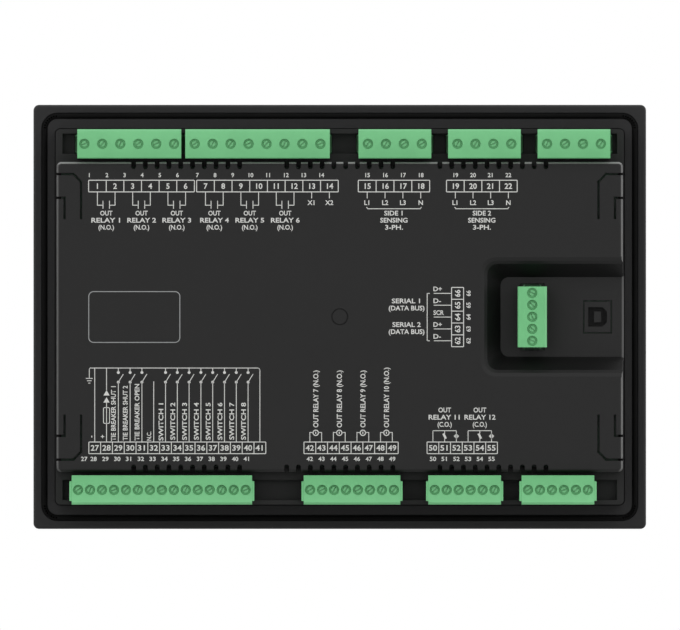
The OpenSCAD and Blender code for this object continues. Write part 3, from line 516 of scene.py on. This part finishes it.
# Legend printed on the raised back, in millimetres: boxes with a cell for each terminal, the
# wiring behind the terminals, and words. A row is given by its first and last number and its left
# and right end, and a word by its middle's height on the back and its own length.
legend = {
    "line": 0.36, "fine": 0.32, "lift": 0.04, "cellCorner": 0.45,
    "digit": 2.3, "small": 1.75, "caption": 1.95,
    "upperRows": [[1, 6, -106.6, -61.7], [7, 14, -60.75, -0.65], [15, 18, 7.85, 38.15],
                  [19, 22, 45.3, 75.3]],
    "lowerRows": [[27, 41, -106.5, -31.4], [42, 49, -15.2, 24.8], [50, 55, 37.05, 66.9]],
    "cellTop": 58.0, "cellBottom": 53.05, "smallTop": 60.2, "smallShort": 0.3, "shiftedTo": 14,
    "lowTop": -53.1, "lowBottom": -58.05, "smallLow": -60.25,
    "digitWide": 3.5, "smallWide": 2.7, "oneNarrower": 0.4, "firstShift": 4.5, "inputShift": 5.5,
    "relays": [[1, 2], [3, 4], [5, 6], [7, 8], [9, 10], [11, 12]],
    "contact": {"arm": 47.4, "armEnd": 1.6, "bar": 1.38, "low": 45.9, "high": 49.3},
    "relayWords": [["OUT", 44.05, 5.2], ["RELAY {}", 41.05, 12.2], ["(N.O.)", 38.05, 6.6]],
    "stub": 50.3, "stubWord": 48.5, "stubWords": {13: "X1", 14: "X2"},
    "phases": [[15, 18], [19, 22]], "phaseWords": ["L1", "L2", "L3", "N"],
    "bracket": {"low": 45.9, "hookLow": 46.0, "hookHigh": 46.6, "out": 0.3, "in": 0.2},
    "sideWords": [["SIDE {}", 44.05, 7.8], ["SENSING", 41.05, 11.6], ["3-PH.", 38.05, 7.6]],
    "serial": {
        "first": 66, "left": 47.45, "right": 52.55, "top": 12.5, "step": 5.03, "digit": 2.2,
        "small": 54.6, "lead": 39.9, "bracket": 37.1, "hook": 38.2,
        "lines": [["D+", 3.6], ["D-", 3.2], ["SCR", 4.4], ["D+", 3.6], ["D-", 3.2]],
        "lineX": 39.7, "lineRise": 1.9, "lineHigh": 1.9,
        "ports": [["SERIAL 1", 6.8, 12.0], ["(DATA BUS)", 3.75, 15.2],
                  ["SERIAL 2", -3.25, 12.0], ["(DATA BUS)", -6.25, 15.2]],
        "portX": 28.35},
    "inputs": {
        "minus": 27, "plus": 28, "spare": 32, "return": 41,
        "common": -21.7, "corner": 0.9, "cornerCut": 0.25, "spareEnd": -27.4,
        "earth": -106.3, "earthCorner": 0.4, "earthFoot": -26,
        "earthBars": [[-26.1, 1.45], [-27.1, 0.95], [-28.1, 0.45]],
        "fuseHalf": 1.3, "fuseLow": -45.2, "fuseHigh": -38.5, "fuseCorner": 0.7,
        "diodeLow": -36.2, "diodeHigh": -31.6, "diodes": [-35.6, -32.6], "diode": 1.5,
        "switches": [*range(29, 32), *range(33, 41)], "pivot": -27.7, "pin": -23.6,
        "pinEnd": -23.2, "dot": 0.62, "lever": [0.2, -27.4, 2.1, -24.3],
        # Number, word, how far it stands left of its line, its middle, its height and its length
        "words": [[27, "-", 1.6, -50.8, 1.95, None], [28, "+", 1.7, -50.8, 1.95, None],
                  [32, "N.C.", 2.0, -50.6, 1.8, 3.8],
                  [29, "TIE BREAKER SHUT 1", 2.1, -40.8, 1.95, 23.2],
                  [30, "TIE BREAKER SHUT 2", 2.1, -40.8, 1.95, 23.2],
                  [31, "TIE BREAKER OPEN", 2.1, -40.4, 1.95, 24.0]],
        "firstSwitch": 33, "switchWord": [1.95, -44.3, 1.95, 15.8]},
    "outputs": {
        "pairs": [42, 44, 46, 48], "arm": -49.05, "armEnd": 1.2, "ring": 1.35, "ringY": -49.2,
        "ringLine": 0.42, "mark": 0.5, "markLine": 0.4, "first": 7, "wordLow": -46.9,
        "word": 2.1, "long": 24.2, "longTwoDigits": 25.4},
    "changeovers": {
        "groups": [50, 53], "bar": -48.3, "low": -51.6, "high": -49.6,
        "lever": [-0.55, -49.5, 0.5, -51.7], "leverLine": 0.95, "diamond": 1.15,
        "diamondY": -50.6, "coreHalf": 1.1, "first": 11, "word": 2.0,
        "words": [["OUT", -39.5, 5.4], ["RELAY {}", -42.55, 13.2], ["(C.O.)", -45.6, 6.0]]},
}


# A row of cells, and the middle of each cell by its number
def drawCells(row, top, bottom):
    first, last, left, right = row
    wide = legend["line"]
    frameBox(left, bottom, right, top, wide, legend["cellCorner"])
    step = (right - left) / (last - first + 1)
    for i in range(1, last - first + 1):
        x = left + i * step
        stroke(x, bottom + wide / 2, x, top - wide / 2, wide)
    return {first + i: left + (i + 0.5) * step for i in range(last - first + 1)}


# Open contacts of the six upper relays, stubs of the single terminals, and the brackets under
# the sensing groups
def drawUpperWiring(centres):
    fine, contact, bracket = legend["fine"], legend["contact"], legend["bracket"]
    start = legend["cellBottom"] - legend["line"] / 2
    arm = contact["arm"]
    for a, b in legend["relays"]:
        middle = (centres[a] + centres[b]) / 2
        for x, side in ((centres[a], 1), (centres[b], -1)):
            bar = middle - side * contact["bar"]
            stroke(x, start, x, arm - fine / 2, fine)
            stroke(x + side * fine / 2, arm, middle - side * contact["armEnd"], arm, fine)
            stroke(bar, contact["low"], bar, contact["high"], fine)
    for n in range(legend["relays"][-1][1] + 1, legend["phases"][-1][1] + 1):
        stroke(centres[n], start, centres[n], legend["stub"], fine)
    for a, b in legend["phases"]:
        stroke(centres[a], bracket["low"], centres[b], bracket["low"], fine)
        for x, side in ((centres[a], -1), (centres[b], 1)):
            stroke(x + side * bracket["out"], bracket["hookHigh"], x - side * bracket["in"],
                   bracket["hookLow"], fine)


# Serial terminals: a column of cells, a line to each name and a bracket round each group
def drawSerial():
    wide, fine, serial = legend["line"], legend["fine"], legend["serial"]
    edges = [serial["top"] - serial["step"] * i for i in range(len(serial["lines"]) + 1)]
    frameBox(serial["left"], edges[-1], serial["right"], edges[0], wide, legend["cellCorner"])
    for y in edges[1:-1]:
        stroke(serial["left"] + wide / 2, y, serial["right"] - wide / 2, y, wide)
    middles = [(above + below) / 2 for above, below in zip(edges, edges[1:])]
    for y in middles:
        stroke(serial["lead"], y, serial["left"] - wide / 2, y, fine)
    for a, b in ((middles[0], middles[2]), (middles[2], middles[4])):
        stroke(serial["bracket"], a, serial["bracket"], b, fine)
        for y in (a, b):
            stroke(serial["bracket"] + fine / 2, y, serial["hook"], y, fine)
    return middles


# Supply lines and switch inputs, drawn to a common line over them
def drawInputs(centres):
    fine, inputs = legend["fine"], legend["inputs"]
    start = legend["lowTop"] + legend["line"] / 2
    common, earth, corner = inputs["common"], inputs["earth"], inputs["corner"]
    underCommon = common - fine / 2
    end = centres[inputs["return"]]
    bend = earth + inputs["earthCorner"]
    stroke(bend, common, end - corner, common, fine)
    path([(bend, common), (earth, common - inputs["earthCorner"]), (earth, inputs["earthFoot"])],
         fine)
    path([(end - corner, common), (end - inputs["cornerCut"], common - inputs["cornerCut"]),
          (end, common - corner)], fine)
    stroke(end, start, end, common - corner, fine)
    for y, half in inputs["earthBars"]:
        stroke(earth - half, y, earth + half, y, fine)
    x = centres[inputs["minus"]]
    stroke(x, start, x, underCommon, fine)
    x, half = centres[inputs["plus"]], inputs["fuseHalf"]
    stroke(x, start, x, inputs["diodeLow"], fine)
    frameBox(x - half, inputs["fuseLow"], x + half, inputs["fuseHigh"], fine, inputs["fuseCorner"])
    stroke(x, inputs["diodeHigh"], x, underCommon, fine)
    for y in inputs["diodes"]:
        dot(x, y, inputs["diode"], 3)
    for n in inputs["switches"]:
        x = centres[n]
        footX, footY, tipX, tipY = inputs["lever"]
        stroke(x, start, x, inputs["pivot"], fine)
        dot(x, inputs["pivot"], inputs["dot"])
        stroke(x + footX, footY, x + tipX, tipY, fine)
        dot(x, inputs["pin"], inputs["dot"])
        stroke(x, inputs["pinEnd"], x, underCommon, fine)
    x = centres[inputs["spare"]]
    stroke(x, start, x, inputs["spareEnd"], fine)


# Relay outputs of the lower row, and the two changeover relays
def drawOutputs(centres):
    fine, outputs, changeovers = legend["fine"], legend["outputs"], legend["changeovers"]
    start = legend["lowTop"] + legend["line"] / 2
    arm, ringY = outputs["arm"], outputs["ringY"]
    for a in outputs["pairs"]:
        left, right = centres[a], centres[a + 1]
        middle = (left + right) / 2
        for x, side in ((left, 1), (right, -1)):
            stroke(x, start, x, arm + fine / 2, fine)
            stroke(x + side * fine / 2, arm, middle - side * outputs["armEnd"], arm, fine)
        ring(middle, ringY, outputs["ring"], outputs["ringLine"])
        stroke(middle, ringY - outputs["mark"], middle, ringY + outputs["mark"],
               outputs["markLine"])
    bar, core = changeovers["bar"], changeovers["coreHalf"]
    for a in changeovers["groups"]:
        left, middle, right = centres[a], centres[a + 1], centres[a + 2]
        stroke(left, bar, right, bar, fine)
        stroke(left, start, left, bar - fine / 2, fine)
        for x in (middle, right):
            stroke(x, start, x, changeovers["low"], fine)
            stroke(x, changeovers["high"], x, bar - fine / 2, fine)
        footX, footY, tipX, tipY = changeovers["lever"]
        stroke(middle + footX, footY, middle + tipX, tipY, changeovers["leverLine"])
        y = changeovers["diamondY"]
        dot(right, y, changeovers["diamond"], 4)
        stroke(right, y - core, right, y + core, fine)


# The number of each terminal in its cell, and again in small beside the row
def terminalNumbers(centres, serialMiddles):
    words = []
    digit, small, serial = legend["digit"], legend["small"], legend["serial"]
    y = (legend["cellTop"] + legend["cellBottom"]) / 2
    for first, last, left, right in legend["upperRows"]:
        halfCell = (right - left) / (last - first + 1) / 2
        shift = halfCell - legend["smallShort"] if last <= legend["shiftedTo"] else 0
        for n in range(first, last + 1):
            words.append(word(str(n), centres[n], y, digit))
            words.append(word(str(n), centres[n] - shift, legend["smallTop"], small))
    y = (legend["lowTop"] + legend["lowBottom"]) / 2
    for row, (first, last, left, right) in enumerate(legend["lowerRows"]):
        for n in range(first, last + 1):
            narrower = legend["oneNarrower"] * str(n).count("1")
            shift = 0 if row else legend["firstShift" if n == first else "inputShift"]
            words.append(word(str(n), centres[n], y, digit, legend["digitWide"] - narrower))
            words.append(word(str(n), centres[n] - shift, legend["smallLow"], small,
                              legend["smallWide"] - narrower))
    x = (serial["left"] + serial["right"]) / 2
    for i, y in enumerate(serialMiddles):
        number = str(serial["first"] - i)
        words.append(word(number, x, y, serial["digit"], turn=upward))
        words.append(word(number, serial["small"], y, small, turn=upward))
    return words


def upperWords(centres, serialMiddles):
    words = []
    caption, serial = legend["caption"], legend["serial"]
    for i, (a, b) in enumerate(legend["relays"]):
        for text, y, width in legend["relayWords"]:
            words.append(word(text.format(i + 1), (centres[a] + centres[b]) / 2, y, caption, width))
    for n, text in legend["stubWords"].items():
        words.append(word(text, centres[n], legend["stubWord"], caption))
    for i, (a, b) in enumerate(legend["phases"]):
        for n, text in enumerate(legend["phaseWords"]):
            words.append(word(text, centres[a + n], legend["stubWord"], caption))
        for text, y, width in legend["sideWords"]:
            words.append(word(text.format(i + 1), (centres[a] + centres[b]) / 2, y, caption, width))
    for (text, width), y in zip(serial["lines"], serialMiddles):
        words.append(word(text, serial["lineX"] + width / 2, y + serial["lineRise"],
                          serial["lineHigh"], width))
    for text, y, width in serial["ports"]:
        words.append(word(text, serial["portX"], y, caption, width))
    return words


def lowerWords(centres):
    words = []
    inputs, outputs, changeovers = legend["inputs"], legend["outputs"], legend["changeovers"]
    for n, text, beside, y, height, long in inputs["words"]:
        words.append(word(text, centres[n] - beside, y, height, long, upward))
    beside, y, height, long = inputs["switchWord"]
    first = inputs["firstSwitch"]
    for n in [n for n in inputs["switches"] if n >= first]:
        words.append(word(f"SWITCH {n - first + 1}", centres[n] - beside, y, height, long, upward))
    for i, a in enumerate(outputs["pairs"]):
        number = outputs["first"] + i
        long = outputs["longTwoDigits" if number > 9 else "long"]
        words.append(word(f"OUT RELAY {number} (N.O.)", (centres[a] + centres[a + 1]) / 2,
                          outputs["wordLow"] + long / 2, outputs["word"], long, upward))
    for i, a in enumerate(changeovers["groups"]):
        for text, y, width in changeovers["words"]:
            words.append(word(text.format(changeovers["first"] + i), centres[a + 1], y,
                              changeovers["word"], width))
    return words


def drawLegend():
    sheet = beginDrawing("printed_legend")
    centres = {}
    for row in legend["upperRows"]:
        centres.update(drawCells(row, legend["cellTop"], legend["cellBottom"]))
    for row in legend["lowerRows"]:
        centres.update(drawCells(row, legend["lowTop"], legend["lowBottom"]))
    drawUpperWiring(centres)
    serialMiddles = drawSerial()
    drawInputs(centres)
    drawOutputs(centres)
    bpy.ops.object.mode_set(mode="OBJECT")
    words = terminalNumbers(centres, serialMiddles)
    words += upperWords(centres, serialMiddles)
    words += lowerWords(centres)
    endDrawing(sheet, words, whiteInk, back + legend["lift"] * mm, math.pi, "controller")


drawLegend()
print("back legend printed")


# Frame for a rating label, left empty, with rounded corners
labelFrame = {"left": -106.7, "right": -67.7, "top": 10.9, "bottom": -11.0, "corner": 2.2,
              "cornerSteps": 6, "line": 0.34, "lift": 0.04}


def drawLabelFrame():
    box = labelFrame
    sheet = beginDrawing("label_frame")
    patch(box["left"], box["bottom"], box["right"], box["top"])
    bpy.ops.mesh.bevel(offset=box["corner"] * mm, segments=box["cornerSteps"], affect="VERTICES")
    bpy.ops.mesh.inset(thickness=box["line"] * mm)
    bpy.ops.mesh.delete(type="FACE")
    bpy.ops.object.mode_set(mode="OBJECT")
    endDrawing(sheet, [], greyInk, back + box["lift"] * mm, math.pi, "controller")


drawLabelFrame()
print("label frame printed")

# Sealing cord in the flange's groove: flat where it is glued, round where the door presses it
cord = {"corner": 6.5, "cornerSteps": 8, "wide": 2.0, "crown": 0.85, "crownSteps": 5,
        "crownProfile": 0.55, "smoothDegrees": 50}


def buildGasket():
    low, high = boxOf("panel_gasket")
    piece = beginDrawing("gasket_cord")
    patch(low[0], low[2], high[0], high[2])
    bpy.ops.mesh.bevel(offset=cord["corner"] * mm, segments=cord["cornerSteps"], affect="VERTICES")
    bpy.ops.mesh.inset(thickness=cord["wide"] * mm)
    bpy.ops.mesh.delete(type="FACE")
    thicken(high[1] - low[1])
    bpy.ops.mesh.select_all(action="DESELECT")
    bpy.ops.object.mode_set(mode="OBJECT")
    crowning = {}  # how many upward faces meet at each edge: one at the rims of the crown
    for face in piece.data.polygons:
        if face.normal.z > 0.9:
            for key in face.edge_keys:
                crowning[key] = crowning.get(key, 0) + 1
    for edge in piece.data.edges:
        edge.select = crowning.get(edge.key, 0) == 1
    bpy.ops.object.mode_set(mode="EDIT")
    bpy.ops.mesh.bevel(offset=cord["crown"] * mm, segments=cord["crownSteps"],
                       profile=cord["crownProfile"])
    bpy.ops.object.mode_set(mode="OBJECT")
    endDrawing(piece, [], gasketEpdm, low[1] * mm, math.pi, "controller")
    bpy.ops.object.shade_smooth_by_angle(angle=math.radians(cord["smoothDegrees"]))
    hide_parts("panel_gasket")


buildGasket()
print("gasket laid")

# Moulded seats round the terminal screws, a ring in each bore that meets the screw's bevel,
# coloured a deeper green as painted shade of the bore. A plug is named for its first and last
# terminal, and terminals up to lastWide stand further apart.
seats = {"bore": 4.26, "wall": 0.71, "deep": 0.15, "under": 0.1, "corners": 18,
         "lastWide": 26, "widePitch": 7.62, "finePitch": 5.08}


def buildSeats():
    piece = beginDrawing("screw_seats")
    for name in [name for name in cad if name.startswith("plug")]:
        first, last = [int(number) for number in name.split("_")[1:]]
        pitch = seats["widePitch" if last <= seats["lastWide"] else "finePitch"]
        x, y = middleOf(name)
        low, high = boxOf(name)
        lying = high[0] - low[0] > high[2] - low[2]
        for n in range(first, last + 1):
            along = (n - (first + last) / 2) * pitch
            ring(-x + along * lying, y + along * (not lying), seats["bore"] / 2, seats["wall"],
                 seats["corners"])
    thicken(seats["deep"])
    bpy.ops.object.mode_set(mode="OBJECT")
    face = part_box("terminal_screws")[1][1] - (seats["under"] + seats["deep"]) * mm
    endDrawing(piece, [], seatShadePolyamide, face, math.pi, "controller")


buildSeats()
print("screw seats set")

# Guide ribs on the ends of the lower plugs, which slide down the headers' end posts
ribs = {"plugs": ["plug_27_41", "plug_42_49", "plug_50_55", "plug_56_61"], "thick": 0.95,
        "high": 3.7, "low": -4.7, "foot": 0.05, "under": 0.2, "edge": 0.25, "into": 0.25}


def buildRibs():
    piece = beginDrawing("plug_end_ribs")
    top = boxOf(ribs["plugs"][0])[1][1] - ribs["under"]
    foot = boxOf("header_27_41")[1][1] + ribs["foot"]
    for name in ribs["plugs"]:
        left, right = [corner[0] for corner in boxOf(name)]
        y = middleOf(name)[1]
        for x1, x2 in ((-left - ribs["into"], -left + ribs["thick"]),
                       (-right - ribs["thick"], -right + ribs["into"])):
            patch(x1, y + ribs["low"], x2, y + ribs["high"])
    thicken(top - foot)
    bpy.ops.mesh.bevel(offset=ribs["edge"] * mm, segments=2)
    bpy.ops.object.mode_set(mode="OBJECT")
    endDrawing(piece, [], finePolyamide, foot * mm, math.pi, "controller")


buildRibs()
print("end ribs set")

# Print on the front film, seen from the front: a frame for the window, one for the menu keys, a
# ring and a word for each round key, and a line diagram of two busbars with the tie breaker
front = {
    "lift": 0.04, "rule": 0.35, "frame": 0.5, "frameInside": 1, "frameCorner": 2.4,
    "menu": ["key_up", "key_down", "key_confirm", "key_page", "key_mute"],
    "menuMargin": 2.4, "menuCorner": 3.4, "ringOut": 1.7, "ringSteps": 48,
    "word": 2.3, "wordY": -73.4,
    "words": {"key_lamp_test": "LAMP TEST", "key_close": "CLOSE", "key_open": "OPEN",
              "key_auto": "AUTO", "key_manual": "MANUAL", "key_stop": "STOP"},
    "diagramY": -34.8, "diagramLine": 0.7, "busX": [-84, 8], "busHalf": 4.4, "busThick": 1.6,
    "busWord": 2.0, "busWordIn": 5.6, "busWordUp": 3,
    "breakerX": -38, "breakerHalf": 3.6, "contact": 1.7, "lever": [-1.6, 0.3, 1.3, 2.1],
}


def drawFrontLines(surface):
    sheet = beginDrawing("front_lines")
    (left, _, low), (right, _, high) = boxOf("display_pane")
    inside, margin = front["frameInside"], front["menuMargin"]
    frameBox(left + inside, low + inside, right - inside, high - inside, front["frame"],
             front["frameCorner"])
    lows, highs = zip(*[boxOf(key) for key in front["menu"]])
    frameBox(min(low[0] for low in lows) - margin, min(low[2] for low in lows) - margin,
             max(high[0] for high in highs) + margin, max(high[2] for high in highs) + margin,
             front["rule"], front["menuCorner"])
    for key in front["words"]:
        low, high = boxOf(key)
        x, y = middleOf(key)
        ring(x, y, (high[0] - low[0]) / 2 + front["ringOut"], front["rule"], front["ringSteps"])
    bpy.ops.object.mode_set(mode="OBJECT")
    endDrawing(sheet, [], greyInk, surface, 0, "controller")


def drawFrontWords(surface):
    sheet = beginDrawing("front_words")
    y, line, half = front["diagramY"], front["diagramLine"], front["breakerHalf"]
    left, right = front["busX"]
    middle, contact, bus = front["breakerX"], front["contact"], front["busThick"] / 2
    for x in (left, right):
        patch(x - bus, y - front["busHalf"], x + bus, y + front["busHalf"])
    stroke(left + bus, y, middle - half, y, line)
    stroke(middle + half, y, right - bus, y, line)
    frameBox(middle - half, y - half, middle + half, y + half, line)
    stroke(middle - half + line / 2, y, middle - contact, y, line)
    stroke(middle + contact, y, middle + half - line / 2, y, line)
    footX, footY, tipX, tipY = front["lever"]
    stroke(middle + footX, y + footY, middle + tipX, y + tipY, line)
    bpy.ops.object.mode_set(mode="OBJECT")
    words = [word("BUS A", left + front["busWordIn"], y + front["busWordUp"], front["busWord"]),
             word("BUS B", right - front["busWordIn"], y + front["busWordUp"], front["busWord"])]
    for key, text in front["words"].items():
        words.append(word(text, middleOf(key)[0], front["wordY"], front["word"]))
    endDrawing(sheet, words, whiteInk, surface, 0, "controller")


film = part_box("fascia_overlay")[0][1] - front["lift"] * mm
drawFrontLines(film)
drawFrontWords(film)
print("front film printed")


# A triangle whose tip points left, cut off at a place: the horn of a loudspeaker
def horn(x, y, radius, cut):
    dot(x, y, radius, 3, math.pi / 2)
    bpy.ops.mesh.bisect(plane_co=(cut * mm, y * mm, 0), plane_no=(1, 0, 0), clear_inner=True)


# Symbols on the key caps, in millimetres from the middle of each key. They are drawn ahead of the
# cap and then pressed onto it.
capMark = {
    "lift": 0.03, "ahead": 0.6, "cuts": 3,
    "key_lamp_test": [[ring, 0, 0, 3.2, 0.75, 32], [stroke, -1.6, 1.6, 1.6, -1.6, 0.75],
                      [stroke, -1.6, -1.6, 1.6, 1.6, 0.75]],
    "key_close": [[stroke, 0, -3, 0, 3, 1.1]],
    "key_open": [[ring, 0, 0, 3.1, 0.95, 32]],
    "key_auto": [[path, [(-2.2, -2.3), (0, 2.4), (2.2, -2.3)], 0.8],
                 [stroke, -1.3, -0.9, 1.3, -0.9, 0.7]],
    "key_manual": [[path, [(-2.1, -2.3), (-2.1, 2.1), (0, -0.6), (2.1, 2.1), (2.1, -2.3)], 0.8]],
    "key_stop": [[patch, -2.5, -2.5, 2.5, 2.5]],
    "key_up": [[dot, 0, -0.6, 3.3, 3]],
    "key_down": [[dot, 0, 0.6, 3.3, 3, math.pi]],
    "key_confirm": [[path, [(-2.9, 0.1), (-0.9, -2.1), (3.1, 2.3)], 0.9]],
    "key_page": [[frameBox, -3.4, -3, 3.4, 3, 0.6], [stroke, -2.1, -1.3, 2.1, -1.3, 0.55],
                 [stroke, -2.1, 0, 2.1, 0, 0.55], [stroke, -2.1, 1.3, 2.1, 1.3, 0.55]],
    "key_mute": [[horn, -0.3, 0, 2.9, -1.7], [patch, -3.4, -0.86, -1.7, 0.86],
                 [stroke, 2.0, 1.15, 4.3, -1.15, 0.6], [stroke, 2.0, -1.15, 4.3, 1.15, 0.6]],
}


def markKey(key):
    x, y = middleOf(key)
    sheet = beginDrawing("mark_" + key)
    for shape, *values in capMark[key]:
        shape(*values)
    bpy.ops.mesh.select_all(action="SELECT")
    bpy.ops.transform.translate(value=(x * mm, y * mm, 0))
    bpy.ops.object.mode_set(mode="OBJECT")
    endDrawing(sheet, [], whiteInk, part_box(key)[0][1] - capMark["ahead"] * mm, 0, key)
    bpy.ops.object.mode_set(mode="EDIT")
    bpy.ops.mesh.select_all(action="SELECT")
    bpy.ops.mesh.quads_convert_to_tris()
    bpy.ops.mesh.subdivide(number_cuts=capMark["cuts"])
    bpy.ops.object.mode_set(mode="OBJECT")
    press = sheet.modifiers.new("press", "SHRINKWRAP")
    press.target = cad[key]
    press.wrap_method = "PROJECT"
    press.use_project_x = press.use_project_z = False
    press.use_project_y = press.use_positive_direction = press.use_negative_direction = True
    press.offset = capMark["lift"] * mm
    bpy.ops.object.modifier_apply(modifier=press.name)


for key in list(front["words"]) + front["menu"]:
    markKey(key)
print("keys marked")

# Floor, studio light and camera, in metres
stage = {"floorSize": 30, "floorSteps": 64, "floorColour": "#e4e4e1", "fadeFrom": 0.35,
         "fadeTo": 1.1, "fibresPerMetre": 900, "fibreHeight": 0.0001, "fibreStrength": 0.05,
         "worldLight": 0.25, "frameWidth": 0.2886, "centreX": -0.0001, "centreZ": 0.0008,
         "cameraAway": 1.5, "clip": [0.05, 40]}


def buildFloor():
    bpy.ops.object.select_all(action="DESELECT")
    bpy.ops.mesh.primitive_circle_add(vertices=stage["floorSteps"], radius=stage["floorSize"] / 2,
                                      fill_type="NGON", location=(0, 0, cadBox[0][2]))
    floor = bpy.context.object
    floor.name = "studio_floor"
    material, tree = newMaterial("MattPaperFloor")
    place = addNode(tree, "ShaderNodeTexCoord").outputs["Object"]
    far = addNode(tree, "ShaderNodeVectorMath", {"operation": "LENGTH"}, {0: place})
    fade = addNode(tree, "ShaderNodeMapRange",
                   {"From Min": stage["fadeFrom"], "From Max": stage["fadeTo"],
                    "interpolation_type": "SMOOTHSTEP"}, {"Value": far.outputs["Value"]})
    look = addNode(tree, "ShaderNodeLightPath")
    white = addNode(tree, "ShaderNodeMath", {"operation": "MULTIPLY"},
                    {0: fade.outputs["Result"], 1: look.outputs["Is Camera Ray"]})
    for mirrored in ("Is Glossy Ray", "Is Transmission Ray"):
        white = addNode(tree, "ShaderNodeMath", {"operation": "MAXIMUM"},
                        {0: white.outputs["Value"], 1: look.outputs[mirrored]})
    fibre = addNode(tree, "ShaderNodeTexNoise", {"Scale": stage["fibresPerMetre"], "Detail": 2},
                    {"Vector": place})
    bump = addNode(tree, "ShaderNodeBump",
                   {"Strength": stage["fibreStrength"], "Distance": stage["fibreHeight"]},
                   {"Height": fibre.outputs["Fac"]})
    paper = addNode(tree, "ShaderNodeBsdfPrincipled",
                    {"Base Color": linear(stage["floorColour"]), "Roughness": 0.9,
                     "Specular IOR Level": 0.2}, {"Normal": bump.outputs["Normal"]})
    glow = addNode(tree, "ShaderNodeEmission", {"Color": (1, 1, 1, 1), "Strength": 1})
    mix = addNode(tree, "ShaderNodeMixShader", {},
                  {0: white.outputs["Value"], 1: paper.outputs["BSDF"],
                   2: glow.outputs["Emission"]})
    addNode(tree, "ShaderNodeOutputMaterial", {}, {"Surface": mix.outputs["Shader"]})
    floor.data.materials.append(material)


def buildWorld():
    world = bpy.data.worlds.new("Studio")
    bpy.context.scene.world = world
    world.use_nodes = True
    tree = world.node_tree
    tree.nodes.clear()
    look = addNode(tree, "ShaderNodeLightPath")
    seen = look.outputs["Is Camera Ray"]
    for mirrored in ("Is Transmission Ray", "Is Glossy Ray"):
        seen = addNode(tree, "ShaderNodeMath", {"operation": "MAXIMUM"},
                       {0: seen, 1: look.outputs[mirrored]}).outputs["Value"]
    room = addNode(tree, "ShaderNodeBackground",
                   {"Color": (1, 1, 1, 1), "Strength": stage["worldLight"]})
    white = addNode(tree, "ShaderNodeBackground", {"Color": (1, 1, 1, 1), "Strength": 1})
    mix = addNode(tree, "ShaderNodeMixShader", {},
                  {0: seen, 1: room.outputs["Background"], 2: white.outputs["Background"]})
    addNode(tree, "ShaderNodeOutputWorld", {}, {"Surface": mix.outputs["Shader"]})


def addLamp(name, place, size, power):
    bpy.ops.object.light_add(type="AREA", location=place)
    lamp = bpy.context.object
    lamp.name = name
    lamp.data.shape = "RECTANGLE"
    lamp.data.size, lamp.data.size_y = size
    lamp.data.energy = power
    aim = -lamp.location.normalized()
    lamp.rotation_euler = aim.to_track_quat("-Z", "Y").to_euler()


# Two large soft lights behind the object and two before it, far enough aside that flat faces
# don't mirror them, and strips over and beside it that draw its rounded edges. Each has a place
# and a size in metres and a power in watts.
lamps = [
    ("rear_left_light", (1.1, 1.7, 1.0), (2.2, 2.2), 20),
    ("rear_right_light", (-1.1, 1.7, 1.0), (2.2, 2.2), 20),
    ("front_left_light", (1.1, -1.7, 1.0), (2.2, 2.2), 20),
    ("front_right_light", (-1.1, -1.7, 1.0), (2.2, 2.2), 20),
    ("top_strip", (0, -0.12, 1.6), (1.4, 0.5), 5),
    ("left_strip", (1.6, -0.12, 0.25), (0.5, 1.2), 4),
    ("right_strip", (-1.6, -0.12, 0.25), (0.5, 1.2), 8),
]

buildFloor()
buildWorld()
for lamp in lamps:
    addLamp(*lamp)

bpy.ops.object.camera_add(location=(stage["centreX"], stage["cameraAway"], stage["centreZ"]),
                          rotation=(math.pi / 2, 0, math.pi))
camera = bpy.context.object
camera.data.type = "ORTHO"
camera.data.ortho_scale = stage["frameWidth"]
camera.data.clip_start, camera.data.clip_end = stage["clip"]
bpy.context.scene.camera = camera
bpy.context.scene.view_settings.view_transform = "Standard"
print("stage, lamps and camera set")
